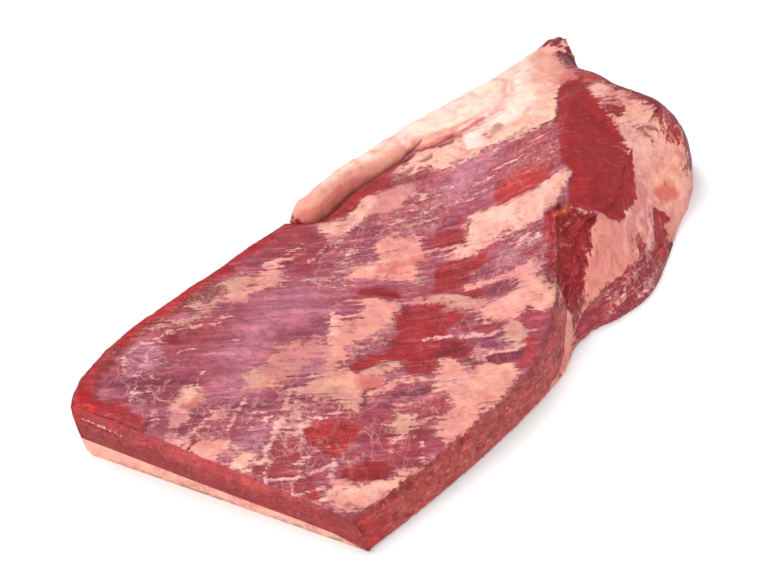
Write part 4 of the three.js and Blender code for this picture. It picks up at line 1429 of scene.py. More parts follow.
    strand(Kind.SINEW, 2.4, 2, 0.7, "-30,25 -22,23 -14,26"),
    strand(Kind.SINEW, 4, 3, 0.6, "-66,20 -60,16 -54,10", crumbly=0.4),
    area(Kind.PINK_VEIL, 4, 4, 0.6, "-62,12 -44,10 -34,2 -40,-4 -56,0", crumbly=0.5),
    area(Kind.GREY, 5, 4, 0.45, "-44,14 -24,18 -8,12 -20,2 -38,2", crumbly=0.5),
    strand(Kind.SINEW, 2.6, 2.2, 0.7, "-34,14 -24,12 -12,16", crumbly=0.3),
    area(Kind.PINK_FAT, 2.2, 2.2, 1,
         "-43,-1 -30,-2 -22,-7 -12,-6 -4,1 4,4 10,-1 15,-8 21,-17 13,-22 8,-30 0,-31 -8,-35 -15,-41 "
         "-20,-33 -27,-21 -33,-12"),
    strand(Kind.CREAM_FAT, 7, 2.2, 0.5, "-26,-10 -14,-10", soft=6),
    strand(Kind.SALMON, 6, 2.2, 0.45, "-16,-20 -6,-26 2,-34", soft=6),
    strand(Kind.SALMON, 4, 2.2, 0.5, "-24,-14 -18,-22", soft=4),
    area(Kind.LEAN, 2, 1.6, 1,
         "-50,-16 -44,-15 -38,-21 -32,-28 -27,-36 -30,-44 -35,-43 -41,-34 -46,-26", lift=-0.8),
    strand(Kind.LEAN_DARK, 3, 1.2, 0.8, "-46,-20 -38,-28 -32,-38", lift=-1),
    strand(Kind.MAUVE_RED, 4, 1.6, 0.7, "-56,-18 -48,-26 -42,-36"),
    area(Kind.PINK_VEIL, 3, 2.4, 0.85,
         "-42,-46 -30,-48 -22,-54 -14,-62 -8,-72 -2,-80 -2,-90 -12,-94 -17,-86 -19,-76 -18,-68 -26,-60 "
         "-34,-52"),
    area(Kind.BEIGE_FAT, 2.4, 2.2, 0.8, "-20,-62 -14,-66 -6,-72 -2,-80 -4,-88 -12,-88 -16,-80 -14,-71"),
    strand(Kind.GREY, 7, 3, 0.5, "-14,-42 -4,-44 2,-50", soft=4, crumbly=0.4),
    strand(Kind.LEAN, 4, 1.2, 0.8, "-8,-68 0,-78 10,-88"),
    strand(Kind.SINEW, 2.2, 1.2, 0.6, "-6,-62 4,-72 14,-82"),
    area(Kind.LEAN, 2.2, 1.6, 1,
         "-16,-58 -6,-50 0,-45 6,-41 11,-46 19,-50 28,-58 36,-64 30,-69 20,-68 14,-66 4,-70 -5,-66"),
    strand(Kind.PLUM, 6, 1.6, 0.85, "8,-86 20,-92 26,-100"),
    strand(Kind.PINK_FAT, 4.6, 1.8, 0.9, "0,-73 10,-80 20,-86 30,-92 36,-96"),
    area(Kind.GREY, 6, 4, 0.5, "30,-76 44,-70 62,-76 64,-88 50,-90 38,-84", crumbly=0.4),
    area(Kind.LILAC_SHEEN, 5, 3, 0.55, "26,-74 40,-72 50,-80 42,-90 32,-84"),
    strand(Kind.SINEW, 6, 3, 0.7, "52,-78 60,-84 66,-88", crumbly=0.5),
    area(Kind.LEAN, 3, 2, 0.7, "46,-84 52,-86 52,-98 46,-98"),
    area(Kind.PINK_FAT, 2, 1.8, 1,
         "-4,-93 6,-98 16,-101 26,-99 28,-92 32,-90 38,-92 43,-96 41,-102 36,-106 31,-112 31,-119 "
         "35,-125 30,-130 20,-129 12,-124 9,-118 4,-115 -2,-113 -6,-108 -13,-98 -14,-92"),
    strand(Kind.CREAM_FAT, 9, 2.2, 0.5, "2,-102 14,-108 24,-112", soft=8),
    strand(Kind.PEACH_FAT, 6, 2.2, 0.6, "14,-122 28,-126", soft=5),
    area(Kind.MAUVE_RED, 3, 2, 0.85, "-2,-116 8,-118 12,-128 16,-133 0,-134 -8,-128"),

    # The cream stripe, the bright lean above it and the crumbs beyond.
    area(Kind.LEAN, 4, 2.5, 0.85, "14,-26 30,-24 46,-34 48,-44 34,-48 20,-42"),
    strand(Kind.PINK_FAT, 3, 1.6, 0.7, "10,-30 18,-38 28,-46"),
    strand(Kind.SLIT_SHADE, 2.4, 0.8, 0.85, "34,-23 42,-26 52,-30"),
    area(Kind.LEAN_BRIGHT, 2.5, 2.2, 0.8, "42,-27 54,-30 56,-33 44,-33"),
    area(Kind.CREAM_FAT, 1.8, 1.8, 1,
         "12,-42 20,-46 30,-48 40,-47 46,-40 54,-36 62,-38 68,-44 72,-51 80,-56 90,-62 100,-66 "
         "110,-69 121,-70 124,-74 115,-78 105,-77 98,-80 92,-85 86,-86 80,-83 75,-79 68,-74 "
         "62,-72 57,-68 50,-63 42,-60 34,-60 25,-54", lift=0.4),
    strand(Kind.PALE_FAT, 10, 2.2, 0.6, "54,-44 60,-52 70,-62", soft=8),
    strand(Kind.PALE_FAT, 8, 2.2, 0.7, "86,-72 100,-70 112,-72", soft=6),
    strand(Kind.BEIGE_FAT, 9, 2.2, 0.7, "92,-78 88,-84", soft=6),
    strand(Kind.PINK_FAT, 7, 2.2, 0.6, "76,-52 88,-59", soft=5),
    area(Kind.LEAN_BRIGHT, 2.4, 2, 1,
         "70,-47 78,-40 88,-34 96,-33 104,-38 115,-42 121,-46 122,-56 117,-63 108,-65 100,-62 92,-60 "
         "84,-56 77,-51"),
    area(Kind.MAUVE_RED, 8, 5, 0.6, "92,-18 130,-20 158,-34 158,-46 118,-46 92,-34"),
    area(Kind.ROSE, 4, 3, 0.85, "112,-42 130,-44 142,-50 138,-62 120,-64"),
    area(Kind.ROSE, 5, 3, 0.6, "100,-22 130,-24 156,-34 160,-44 140,-48 116,-42 98,-34"),
    strand(Kind.SINEW, 2.4, 1.8, 0.75, "100,-23 108,-29 118,-33 130,-35"),
    strand(Kind.SINEW, 2, 1.8, 0.65, "104,-34 114,-37 124,-37 134,-42"),
    strand(Kind.SINEW, 2, 1.4, 0.6, "110,-12 122,-17 134,-22"),
    strand(Kind.SINEW, 3.4, 2.6, 0.6, "58,-17 70,-18 84,-21 98,-28", crumbly=0.5),
    strand(Kind.SINEW, 2.4, 2, 0.6, "64,-24 78,-27 90,-32"),
    strand(Kind.SINEW, 2.2, 1.8, 0.6, "122,-48 130,-52 132,-58"),
    strand(Kind.SINEW, 2.6, 2, 0.6, "134,-34 146,-38 154,-42", crumbly=0.3),

    # The pale patch by the dark lean and the crumbs round it.
    area(Kind.LEAN, 2.4, 2, 1,
         "-6,60 20,62 44,62 62,56 72,50 64,44 60,36 53,32 47,34 40,42 33,43 25,40 15,38 8,44 "
         "0,50", lift=-0.5),
    strand(Kind.LEAN_DARK, 4, 2.2, 0.6, "0,56 20,57 42,58 60,54"),
    area(Kind.PINK_VEIL, 2.2, 2, 1,
         "-18,30 -12,46 -8,52 -1,45 6,40 12,38 20,41 28,43 34,41 40,38 45,36 52,31 58,28 62,20 56,14 "
         "46,13 35,13 28,15 22,22 14,27 4,27"),
    strand(Kind.CREAM_FAT, 10, 3, 0.85, "-12,44 2,32 16,34 30,38", soft=8),
    strand(Kind.BEIGE_FAT, 7, 3, 0.6, "-4,36 8,34", soft=4, crumbly=0.4),
    strand(Kind.BROWN, 5, 3, 0.7, "0,25 10,25 20,23", crumbly=0.3),
    area(Kind.GREY, 6, 4, 0.4, "14,12 40,8 60,12 56,-14 34,-18 16,-4", crumbly=0.4),
    strand(Kind.SINEW, 3, 3, 0.6, "16,9 28,6 42,8 54,6", crumbly=0.5),
    strand(Kind.SINEW, 3, 3, 0.5, "36,-2 46,-6 58,-9", crumbly=0.5),
    strand(Kind.SINEW, 6, 3, 0.6, "62,0 70,-4", crumbly=0.4),
    strand(Kind.BROWN, 6, 1.5, 0.8, "56,32 62,31 66,26"),
    area(Kind.ROSE, 4, 3, 0.9, "60,26 74,28 86,18 84,8 66,12"),
    strand(Kind.LEAN_DARK, 6, 2, 0.5, "66,24 78,16", soft=4),
    area(Kind.BEIGE_FAT, 3, 1.5, 0.85, "64,50 72,48 80,49 76,40 68,38"),
    area(Kind.PALE_FAT, 2.2, 2.6, 1,
         "68,36 78,39 90,39 98,31 106,25 118,19 132,16 140,14 140,0 124,-3 108,-4 99,1 "
         "92,4 86,9 83,14 82,20 85,26 78,28 71,30", crumbly=0.12),
    strand(Kind.CREAM_FAT, 8, 2.2, 0.7, "72,34 86,34 96,26", soft=6, crumbly=0.3),
    strand(Kind.SPOT, 3, 2, 0.6, "84,31 92,29"),
    strand(Kind.SPOT, 4, 1.5, 0.6, "68,34 73,32"),
    strand(Kind.SPOT, 3, 2.4, 0.5, "92,8 98,5"),
    strand(Kind.SPOT, 2.4, 2, 0.4, "110,7 115,4"),
    strand(Kind.SLIT_SHADE, 5, 0.8, 1, "76,46 82,43", lift=-2.5),

)


WEAVE_PATCHES = (
    area(Kind.SINEW, 14, 5, 0.85,
         "-238,-14 -205,10 -186,-10 -160,-30 -122,-56 -124,-112 -150,-142 -210,-128"),
    area(Kind.SINEW, 10, 5, 0.9, "-232,16 -222,46 -200,66 -168,62 -176,36 -206,12"),
    area(Kind.SINEW, 14, 5, 0.4, "-172,72 -60,72 -52,34 -130,40"),
    area(Kind.SINEW, 12, 5, 0.6, "-132,-62 -60,-86 -6,-56 6,-100 -60,-122 -124,-112"),
    area(Kind.SINEW, 14, 5, 0.6, "-76,4 -40,46 60,38 94,8 40,-22 -24,-16 -60,-14"),
    area(Kind.SINEW, 10, 5, 0.65, "0,-58 72,-74 66,-104 8,-112"),
    area(Kind.SINEW, 12, 5, 0.45, "60,-8 156,-12 160,-46 108,-44 60,-28"),
    area(Kind.SINEW, 8, 4, 0.5, "-40,-96 -8,-92 -2,-132 -40,-140"),
)


SMOOTH_PATCHES = (
    area(Kind.WHITE_FAT, 2.4, 2.2, 1,
         "122,20 150,17 160,26 176,40 182,90 300,90 300,-8 236,-6 205,-9 195,-12 185,-19 175,-26 166,-32 "
         "158,-33 152,-24 140,-22 130,-12 118,-2 112,8"),
    strand(Kind.PALE_FAT, 18, 4, 0.75, "132,-4 146,-16 160,-24 176,-18 190,-8", soft=14),
    area(Kind.PEACH_FAT, 16, 4, 0.75, "206,-4 200,8 222,20 246,40 290,70 290,-8 230,-6"),
    area(Kind.SALMON, 8, 4, 0.6, "205,-7 222,-1 244,8 290,18 290,-12 214,-12"),
    strand(Kind.GREY, 6, 3, 0.5, "128,2 134,-2 140,2", crumbly=0.4),
    strand(Kind.GREY, 5, 3, 0.5, "128,-14 134,-18 142,-22", crumbly=0.4),
    area(Kind.WHITE_FAT, 2.4, 1, 1,
         "92,90 93,46 100,40 108,34 116,28 128,22 140,18 152,16 170,20 200,40 200,90"),
    strand(Kind.PEACH_FAT, 9, 2.2, 0.7, "100,46 118,36 134,28 150,24", soft=9),
    # Painted shade along the crevice of the pocket: salmon and brown strands, also sunk into the relief.
    strand(Kind.SALMON, 5, 1, 0.8, "92,46 98,41 108,33 118,27", soft=5, lift=-0.8),
    strand(Kind.BROWN, 2.6, 1, 0.75, "90,46 96,40 103,36 110,31 117,26", lift=-1.2),
    strand(Kind.SALMON, 4, 1, 0.6, "117,26 128,21 142,17", soft=4, lift=-0.6),
    area(Kind.DRIED, 5, 4, 0.85, "262,60 262,44 268,34 300,30 300,60"),
    strand(Kind.RUST, 2.6, 1, 0.6, "240,60 252,52 268,42"),
)


HOLLOW_PATCHES = (
    area(Kind.HOLLOW, 2.4, 2.0, 1,
         "34,-136 37,-120 43,-110 54,-103 64,-97 74,-88 84,-81 92,-84 100,-87 110,-95 112,-104 100,-109 "
         "90,-115 77,-121 64,-127 54,-131 44,-137"),
    strand(Kind.LEAN_BRIGHT, 9, 3, 0.55, "60,-116 76,-110 92,-102", soft=6),
    strand(Kind.SCARLET, 4, 2, 0.8, "60,-98 70,-90 82,-83"),
    strand(Kind.SCARLET, 5, 2, 0.6, "92,-90 102,-90 112,-94", soft=4),
    strand(Kind.ORANGE, 4, 2, 0.75, "84,-87 92,-90 98,-88", lift=1.5),
    strand(Kind.ORANGE, 2.4, 2, 0.6, "104,-96 110,-98", lift=1.2),
    strand(Kind.SALMON, 2, 2, 0.5, "60,-106 68,-104 76,-108", lift=0.8),
    strand(Kind.SINEW, 1.8, 2, 0.5, "78,-96 88,-97 100,-96"),
    strand(Kind.SINEW, 3, 1.6, 0.8, "98,-90 106,-99 118,-107 132,-112 142,-114"),
    area(Kind.GREY, 2.4, 3, 0.8, "32,-108 40,-106 46,-100 48,-106 42,-114 36,-128 32,-120", crumbly=0.5),
    strand(Kind.SLIT_SHADE, 3, 1.5, 0.7, "36,-118 40,-112 46,-106"),
    strand(Kind.BROWN, 4, 2.5, 0.7, "34,-138 44,-136 58,-131"),
)


LEATHER_PATCHES = (
    area(Kind.LEATHER, 1.4, 0.7, 1,
         "100,-87 112,-80 125,-73 122,-64 135,-55 150,-45 160,-37 168,-32 176,-27 186,-20 197,-13 "
         "208,-10 221,-12 227,-18 222,-26 214,-32 208,-42 208,-54 203,-66 198,-75 190,-86 180,-95 "
         "168,-103 152,-110 138,-113 125,-116 116,-108 108,-98"),
    strand(Kind.LEAN_DARK, 3, 1.2, 0.6, "160,-36 176,-27 194,-15", soft=4, lift=-0.4),
    strand(Kind.LEAN_DARK, 8, 2, 0.6, "200,-16 212,-24", soft=7),
    strand(Kind.LEAN_DARK, 12, 3, 0.35, "156,-44 170,-56 190,-56", soft=10),
    strand(Kind.LEAN_DARK, 8, 2, 0.4, "110,-92 124,-100 140,-104", soft=7),
    strand(Kind.MAUVE_RED, 20, 4, 0.3, "150,-70 170,-80 184,-76", soft=16),
    area(Kind.SEAM_CREAM, 3, 2.4, 1, "210,-46 226,-40 290,-40 290,-120 206,-120 190,-84 200,-68"),
    area(Kind.SALMON, 3, 2.4, 0.9, "216,-10 240,-2 290,8 290,-46 250,-50 228,-52 212,-44 214,-32 226,-24"),
    area(Kind.LEAN_BRIGHT, 4, 2.4, 1, "218,-16 232,-6 252,2 270,0 262,-14 246,-24 230,-26"),
    strand(Kind.ORANGE, 4, 2.4, 0.5, "226,-20 240,-12 256,-6", soft=4),
    area(Kind.RUST, 3, 1.6, 0.85, "206,-52 212,-44 222,-42 230,-50 222,-58 212,-60"),
    area(Kind.CREAM_FAT, 2.6, 1.4, 1, "213,-34 219,-29 228,-30 230,-37 222,-44 214,-41", lift=0.6),
    area(Kind.PINK_FAT, 2.4, 1.2, 1, "226,-46 236,-42 240,-47 230,-53", lift=0.4),
    strand(Kind.SLIT_SHADE, 2.4, 1, 0.75, "234,-42 244,-36"),
    strand(Kind.LEAN_DARK, 4, 1.6, 0.7, "238,-32 248,-26 262,-24"),
    strand(Kind.MAUVE_RED, 4, 2.4, 0.5, "236,-56 248,-53 262,-51", soft=4),
)


SEAM_PATCHES = (
    area(Kind.SEAM, 8, 3, 0.9, "20,-150 60,-128 100,-104 200,-104 190,-140 60,-150"),
    area(Kind.SEAM_CREAM, 8, 3, 1, "196,-62 212,-58 240,-64 236,-84 222,-100 200,-112 180,-104 190,-84"),
    area(Kind.PEACH_FAT, 6, 3, 0.7, "180,-104 224,-100 232,-112 200,-126 178,-120"),
    strand(Kind.SALMON, 8, 3, 0.6, "186,-112 202,-116", soft=6),
    strand(Kind.SPOT, 6, 2, 0.8, "228,-69 234,-71"),
    strand(Kind.SPOT, 4, 1.6, 0.8, "224,-77 229,-80"),
    strand(Kind.SPOT, 2.6, 1.6, 0.6, "217,-79 219,-81"),
    area(Kind.MAUVE_RED, 9, 4, 0.75, "236,-62 250,-60 286,-60 286,-94 262,-94 246,-84"),
    area(Kind.DRIED, 7, 4, 0.6, "252,-62 286,-62 286,-90 262,-92"),
    area(Kind.LEAN_BRIGHT, 5, 3, 0.6, "228,-82 240,-86 250,-96 258,-104 240,-104 230,-96"),
    strand(Kind.SLIT_SHADE, 4, 1.2, 1, "244,-73 256,-70"),
    strand(Kind.BROWN, 5, 2, 0.6, "224,-112 240,-110 256,-104"),
    strand(Kind.SINEW, 3.4, 1.6, 0.8, "128,-140 144,-132 160,-122 174,-113"),
    strand(Kind.SINEW, 2.4, 1.6, 0.6, "120,-136 140,-124 158,-116"),
    strand(Kind.SINEW, 2, 1.6, 0.4, "110,-132 134,-116 150,-110"),
    area(Kind.LEAN, 2.4, 1.6, 1,
         "132,-144 145,-136 155,-128 163,-122 172,-119 181,-120 181,-127 170,-131 160,-138 150,-143"),
    area(Kind.LEAN_BRIGHT, 5, 3, 0.6, "124,-130 138,-124 136,-134 124,-140"),
    strand(Kind.BROWN, 3, 1.4, 0.7, "56,-138 66,-138 80,-136"),
)


@dataclass
class FlatMuscle:
    """The long flat muscle on top, with the silver-skin and patches of fat on its face."""

    form: Form
    spacing: float = 1.42
    under_columns: int = 10
    far_columns: int = 10
    arc_columns: int = 7
    face_columns: int = 150
    slope_columns: int = 40
    end_rows: int = 20
    back_bulge: float = 4.5
    ridge_reach: int = 9

    def section(self, s: float) -> Section:
        """Returns the outline of the muscle at a station.

        Args:
            s: The station along the piece, in mm.

        Returns:
            Its outline.
        """
        form = self.form
        share = float(form.seam_share(s)) if form.has_seam(s) else 0.0
        near_y = float(form.near_side(s, share)[0])
        far_y = float(form.lean_far(s, form.cap_far))
        lower_y = lerp(near_y, far_y, np.linspace(0, 1, self.under_columns))
        lower_z = form.seam_sheet(s, lower_y)
        lower_z[0] = float(form.near_side(s, share)[1])
        lower_y[-1] = float(form.lean_far(s, lower_z[-1]))

        shares = np.append(share + SLIVER, np.linspace(share, 1, self.slope_columns)[1:])
        slope_y, slope_z = form.near_side(s, shares)
        turn = float(form.top_round(s))
        shoulder = float(form.lean_far(s, form.far_height(s))) - turn
        t = np.arange(1, self.face_columns) / self.face_columns
        face_y = lerp(slope_y[-1], shoulder, t)
        fade = rise(t, 0, form.face_fade) * rise(1 - t, 0, form.face_fade)
        step = slope_z[-1] - float(form.face_height(s, slope_y[-1]))
        face_z = form.face_height(s, face_y) + step * (1 - rise(t, 0, form.face_join))
        face_z = face_z + fade * form.face_relief(s, face_y)
        face_z = face_z + form.lobe(s, face_y, face_z)
        top = float(form.face_height(s, shoulder))
        top += float(form.lobe(s, shoulder, top))
        a = np.linspace(0, math.pi / 2, self.arc_columns)
        arc_z = top - turn * (1 - np.cos(a))
        arc_y = form.lean_far(s, arc_z) - turn * (1 - np.sin(a))
        side_z = lerp(lower_z[-1], arc_z[-1], np.linspace(0, 1, self.far_columns)[1:-1])
        side_y = form.lean_far(s, side_z)

        y = np.concatenate([lower_y, side_y, arc_y[::-1], face_y[::-1], slope_y[::-1]])
        z = np.concatenate([lower_z, side_z, arc_z[::-1], face_z[::-1], slope_z[::-1]])
        ridge = len(y) - self.slope_columns
        y, z = self._soften(y, z, ridge, 0.45 + 0.5 * float(rise(s, -20, 40)))
        low, high = near_y, float(y.max())
        reach = lower_y[-1] - low + (3 if form.has_seam(s) else -2)
        core_y = low + 1 + (y - low) / (high - low) * reach
        core_z = np.interp(core_y, lower_y, lower_z) + 0.4
        return Section(y, z, core_y, core_z)

    def _soften(self, y: np.ndarray, z: np.ndarray, ridge: int,
                amount: float) -> tuple[np.ndarray, np.ndarray]:
        """Returns an outline with its ridge rounded over, as far as amount says.

        Args:
            y: The places across of the outline, in mm.
            z: The heights of the outline, in mm.
            ridge: The number of the ridge's point.
            amount: How strongly it is rounded, 0 to 1.

        Returns:
            The new places across and the new heights, in mm.
        """
        reach = self.ridge_reach
        kernel = np.hanning(2 * reach + 3)[1:-1]
        kernel = kernel / kernel.sum()
        index = np.arange(len(y))
        share = amount * np.clip(1 - ((index - ridge) / (2.2 * reach)) ** 2, 0, 1)
        share[(index < ridge - 4 * reach) | (index > len(y) - reach - 2)] = 0
        softened = [np.convolve(np.pad(row, reach, mode="edge"), kernel, "valid")
                    for row in (y, z)]
        return lerp(y, softened[0], share), lerp(z, softened[1], share)

    def build(self, finish: bpy.types.Material) -> bpy.types.Object:
        """Builds and paints the muscle.

        Args:
            finish: The material.

        Returns:
            The piece.
        """
        form = self.form
        row = form.stations(form.cut_end, form.thick_end, self.spacing)
        skin = Skin(form, row, self.section, self.end_rows, self.back_bulge)
        x, y, z = skin.points.reshape(-1, 3).T
        drawn = skin.flat(skin.drawn)
        under = self.under_columns
        columns = skin.column_numbers()
        first_slope = skin.columns - self.slope_columns
        first_face = under + self.far_columns - 2 + self.arc_columns
        on_slope = (columns >= first_slope).astype(float)
        on_side = (columns < first_face) & (columns >= under)
        at_front = rise(drawn, 0.0, 0.06)
        at_back = rise(-drawn, 0.0, 0.06)

        across, along = fibre_places(x, y)
        station = skin.flat(skin.station)
        depth = columns - first_slope
        share = np.clip(1 - depth / self.slope_columns, 0, 1)
        blend = rise(depth, 0.0, 8.0) * (1 - rise(station, 60, 120))
        across = lerp(across, z + 0.4 * share, blend)
        along = lerp(along, x, blend)
        across = np.where(np.abs(drawn) > 0, y, across)
        along = np.where(np.abs(drawn) > 0, z, along)
        canvas = Canvas(x, y, z, across, along, PAINT_SEED)

        canvas.lay(Kind.SILVER, np.ones(len(x)))
        # Broad lilac streaks, partly a painted sheen on the silver-skin.
        canvas.lay(Kind.LILAC_SHEEN, 0.55 * rise(canvas.broad_streaky, 0.1, 0.8))
        canvas.lay(Kind.PLUM, 0.5 * rise(-canvas.broad_streaky, 0.1, 0.8))
        amount = np.zeros(len(x))
        for patch in WEAVE_PATCHES:
            amount = np.maximum(amount, canvas.cover(patch))
        canvas.weave(amount)
        canvas.net = canvas.net * (1 - np.maximum(at_front, at_back))
        canvas.paint(FACE_PATCHES)
        canvas.paint(SMOOTH_PATCHES)
        canvas.paint(HOLLOW_PATCHES)
        canvas.paint(LEATHER_PATCHES)

        stray = 2.6 * canvas.crumbly + 2 * canvas.streaky
        side = on_slope * rise(depth + stray, 0.5, 4.5) * (1 - rise(station, 10, 50))
        canvas.lay(Kind.SIDE, side)
        canvas.net = canvas.net * (1 - 0.8 * side)
        canvas.lay(Kind.LEAN_BRIGHT, 0.8 * side * rise(-x, 165, 200))
        canvas.lay(Kind.LEAN, 0.6 * side * rise(canvas.crumbly, 0.0, 0.5))
        canvas.lay(Kind.BROWN, 0.4 * side * rise(canvas.blotchy, 0.1, 0.6))
        canvas.lay(Kind.LEAN_DARK, 0.7 * side * rise(canvas.lumpy, 0.2, 0.8))
        canvas.lay(Kind.PINK_VEIL, 0.5 * side * rise(canvas.crumbly - 0.3 * canvas.blotchy, 0.5, 0.9))
        on_side = on_side * (1 - rise(x, 70, 90))
        canvas.lay(Kind.LEAN, 0.9 * on_side)
        canvas.lay(Kind.SCARLET, 0.8 * on_side * rise(canvas.blotchy, -0.2, 0.4) * rise(-x, 0, 40))
        canvas.lay(Kind.LEAN_DARK, 0.6 * on_side * rise(canvas.crumbly, 0.0, 0.6))
        # Painted shade: a dark line in the cleft between the roll and the lean.
        cleft_shade = rise(y - form.roll_inner(station), -4.2, -1.4)
        cleft_shade = cleft_shade * rise(station, -10, 0) * (1 - rise(station, 90, 106))
        canvas.lay(Kind.SLIT_SHADE, 0.85 * cleft_shade)
        self._paint_cut_face(canvas, at_front, y, z)
        edge = rise(station + 2 * canvas.crumbly + 1.5 * canvas.blotchy, 227.5, 232.0)
        canvas.lay(Kind.LEAN, 0.6 * rise(station + 3 * canvas.crumbly, 220.0, 228.0))
        canvas.lay(Kind.DRIED, np.maximum(edge, at_back))
        canvas.lay(Kind.LEAN, 0.9 * at_back * rise(canvas.blotchy, -0.3, 0.4))
        canvas.lay(Kind.ROSE, 0.7 * at_back * rise(canvas.lumpy, 0.1, 0.6))
        canvas.lay(Kind.SALMON, 0.8 * at_back * rise(canvas.crumbly, 0.5, 0.8))
        canvas.vary()

        hidden = (columns > 1) & (columns < under - 1)
        push = canvas.relief() * np.where(hidden, 0, 1)
        push = push * (1 - rise(np.abs(drawn), 0.85, 1.0))
        return make_piece("lean_flat", skin, canvas, push, finish, ("flat_muscle",))

    def _paint_cut_face(self, canvas: Canvas, at_front: np.ndarray, y: np.ndarray,
                        z: np.ndarray) -> None:
        """Paints the square-cut end, where the fibres are seen end on.

        Args:
            canvas: The paint of the muscle.
            at_front: How far each point is on the cut end, 0 to 1.
            y: The places across, in mm.
            z: The heights, in mm.
        """
        canvas.lay(Kind.CUT, at_front)
        low = 1 - rise(z + 3 * canvas.blotchy, 20, 27)
        canvas.lay(Kind.CUT_DARK, at_front * 0.8 * low)
        canvas.lay(Kind.CUT_DARK, at_front * 0.6 * rise(y, -40, 30))
        canvas.lay(Kind.LEAN_BRIGHT, at_front * 0.6 * rise(-canvas.blotchy, -0.1, 0.5) * (1 - low))
        canvas.lay(Kind.SCARLET, at_front * rise(y, 36, 52) * rise(z, 24, 34))
        top = 41 + 0.1 * (y - 57)
        lip = bump(y - 34, z - top + 9, 26, 1.5)
        canvas.lay(Kind.SINEW, at_front * 0.8 * rise(lip + 0.2 * canvas.crumbly, 0.2, 0.6), 0.6)
        # Painted shade: a dark line under the pale lip of membrane.
        under = bump(y - 34, z - top + 11.4, 28, 1.3)
        canvas.lay(Kind.SLIT_SHADE, at_front * 0.8 * rise(under + 0.2 * canvas.crumbly, 0.2, 0.6))
        canvas.lay(Kind.SINEW, at_front * 0.2 * rise(canvas.crumbly, 0.5, 0.9))


def inner_layer(form: Form, s: float, slope: tuple[np.ndarray, np.ndarray], columns: int,
                sheets: tuple[Callable, Callable]) -> Section:
    """Closes a layer between two sheets behind its part of the near slope.

    Args:
        form: The shape of the brisket.
        s: The station.
        slope: Places across and heights on the near slope, from low to high.
        columns: How many points each hidden side has.
        sheets: The heights of the sheets below and above the layer.

    Returns:
        The outline of the layer.
    """
    slope_y, slope_z = slope
    far_y = float(form.lean_far(s, form.cap_far))
    t = np.linspace(0, 1, columns + 1)[1:]
    lower_y = lerp(slope_y[0], far_y, t)
    lower_z = sheets[0](s, lower_y)
    upper_y = lerp(slope_y[-1], far_y, t[:-1])
    upper_z = np.maximum(sheets[1](s, upper_y) - 0.1, 0.2)
    y = np.concatenate([lower_y, upper_y[::-1], slope_y[::-1]])
    z = np.concatenate([lower_z, upper_z[::-1], slope_z[::-1]])
    under_y = np.concatenate([[slope_y[0]], lower_y])
    under_z = np.concatenate([[slope_z[0]], lower_z])
    core_y = np.maximum(y, slope_y[0] + 0.5)
    return Section(y, z, core_y, np.interp(core_y, under_y, under_z) + 0.2)


@dataclass
class SeamFat:
    """The wedge of fat between the two muscles, which shows on the near slope."""

    form: Form
    spacing: float = 1.35
    hidden_columns: int = 8
    slope_columns: int = 60
    end_rows: int = 14
    back_bulge: float = 4.5
    overlap: float = 0.03  # share of the slope by which it runs on under the flat muscle

    def section(self, s: float) -> Section:
        """Returns the outline of the wedge at a station.

        Args:
            s: The station along the piece, in mm.

        Returns:
            Its outline.
        """
        form = self.form
        low = max(float(form.point_share(s)) - self.overlap, 0) if form.has_point(s) else 0.0
        high = min(float(form.seam_share(s)) + self.overlap, 1.0)
        shares = np.linspace(low, high, self.slope_columns)
        slope_y, slope_z = form.near_side(s, shares)
        top_share = float(form.seam_share(s))
        tuck = 0.5 * rise(shares, top_share - SLIVER, top_share + self.overlap)
        if form.has_point(s):
            under = 1 - rise(shares, low, low + self.overlap)
            tuck = tuck + 1.4 * under
        slope_y, slope_z = slope_y + tuck * 0.4, slope_z - tuck
        return inner_layer(form, s, (slope_y, slope_z), self.hidden_columns,
                           (form.point_sheet, form.seam_sheet))

    def build(self, finish: bpy.types.Material) -> bpy.types.Object:
        """Builds and paints the wedge.

        Args:
            finish: The material.

        Returns:
            The piece.
        """
        form = self.form
        row = form.stations(form.seam_start, form.thick_end, self.spacing)
        skin = Skin(form, row, self.section, self.end_rows, self.back_bulge)
        x, y, z = skin.points.reshape(-1, 3).T
        drawn = skin.flat(skin.drawn)
        a = math.radians(40)
        canvas = Canvas(x, y, z, -x * math.sin(a) + y * math.cos(a),
                        x * math.cos(a) + y * math.sin(a), PAINT_SEED)
        canvas.lay(Kind.SEAM, np.ones(len(x)))
        canvas.lay(Kind.SEAM_CREAM, 0.6 * rise(canvas.blotchy, 0.0, 0.6))
        canvas.lay(Kind.SALMON, 0.5 * rise(-canvas.blotchy, 0.1, 0.7))
        canvas.paint(SEAM_PATCHES)
        canvas.paint(HOLLOW_PATCHES)
        canvas.paint(LEATHER_PATCHES[:6])
        station = skin.flat(skin.station) + 2.5 * canvas.crumbly + 2.5 * canvas.blotchy
        reddish = 0.7 * rise(station + 3 * canvas.blotchy, 217, 234) * rise(z, 34, 50)
        canvas.lay(Kind.MAUVE_RED, reddish)
        at_rim = 1 - rise(np.abs(drawn) + 0.1 * canvas.crumbly + 0.1 * canvas.blotchy, 0.05, 0.2)
        canvas.lay(Kind.DRIED, 0.9 * at_rim * rise(station, 233, 239) * rise(z, 10, 24))
        canvas.vary(0.08, 0.12, 0.05)
        columns = skin.column_numbers()
        shown = (columns >= 2 * self.hidden_columns - 1).astype(float)
        push = canvas.relief() * shown * (1 - rise(np.abs(drawn), 0.85, 1.0))
        return make_piece("seam_wedge", skin, canvas, push, finish, ("seam_fat",))


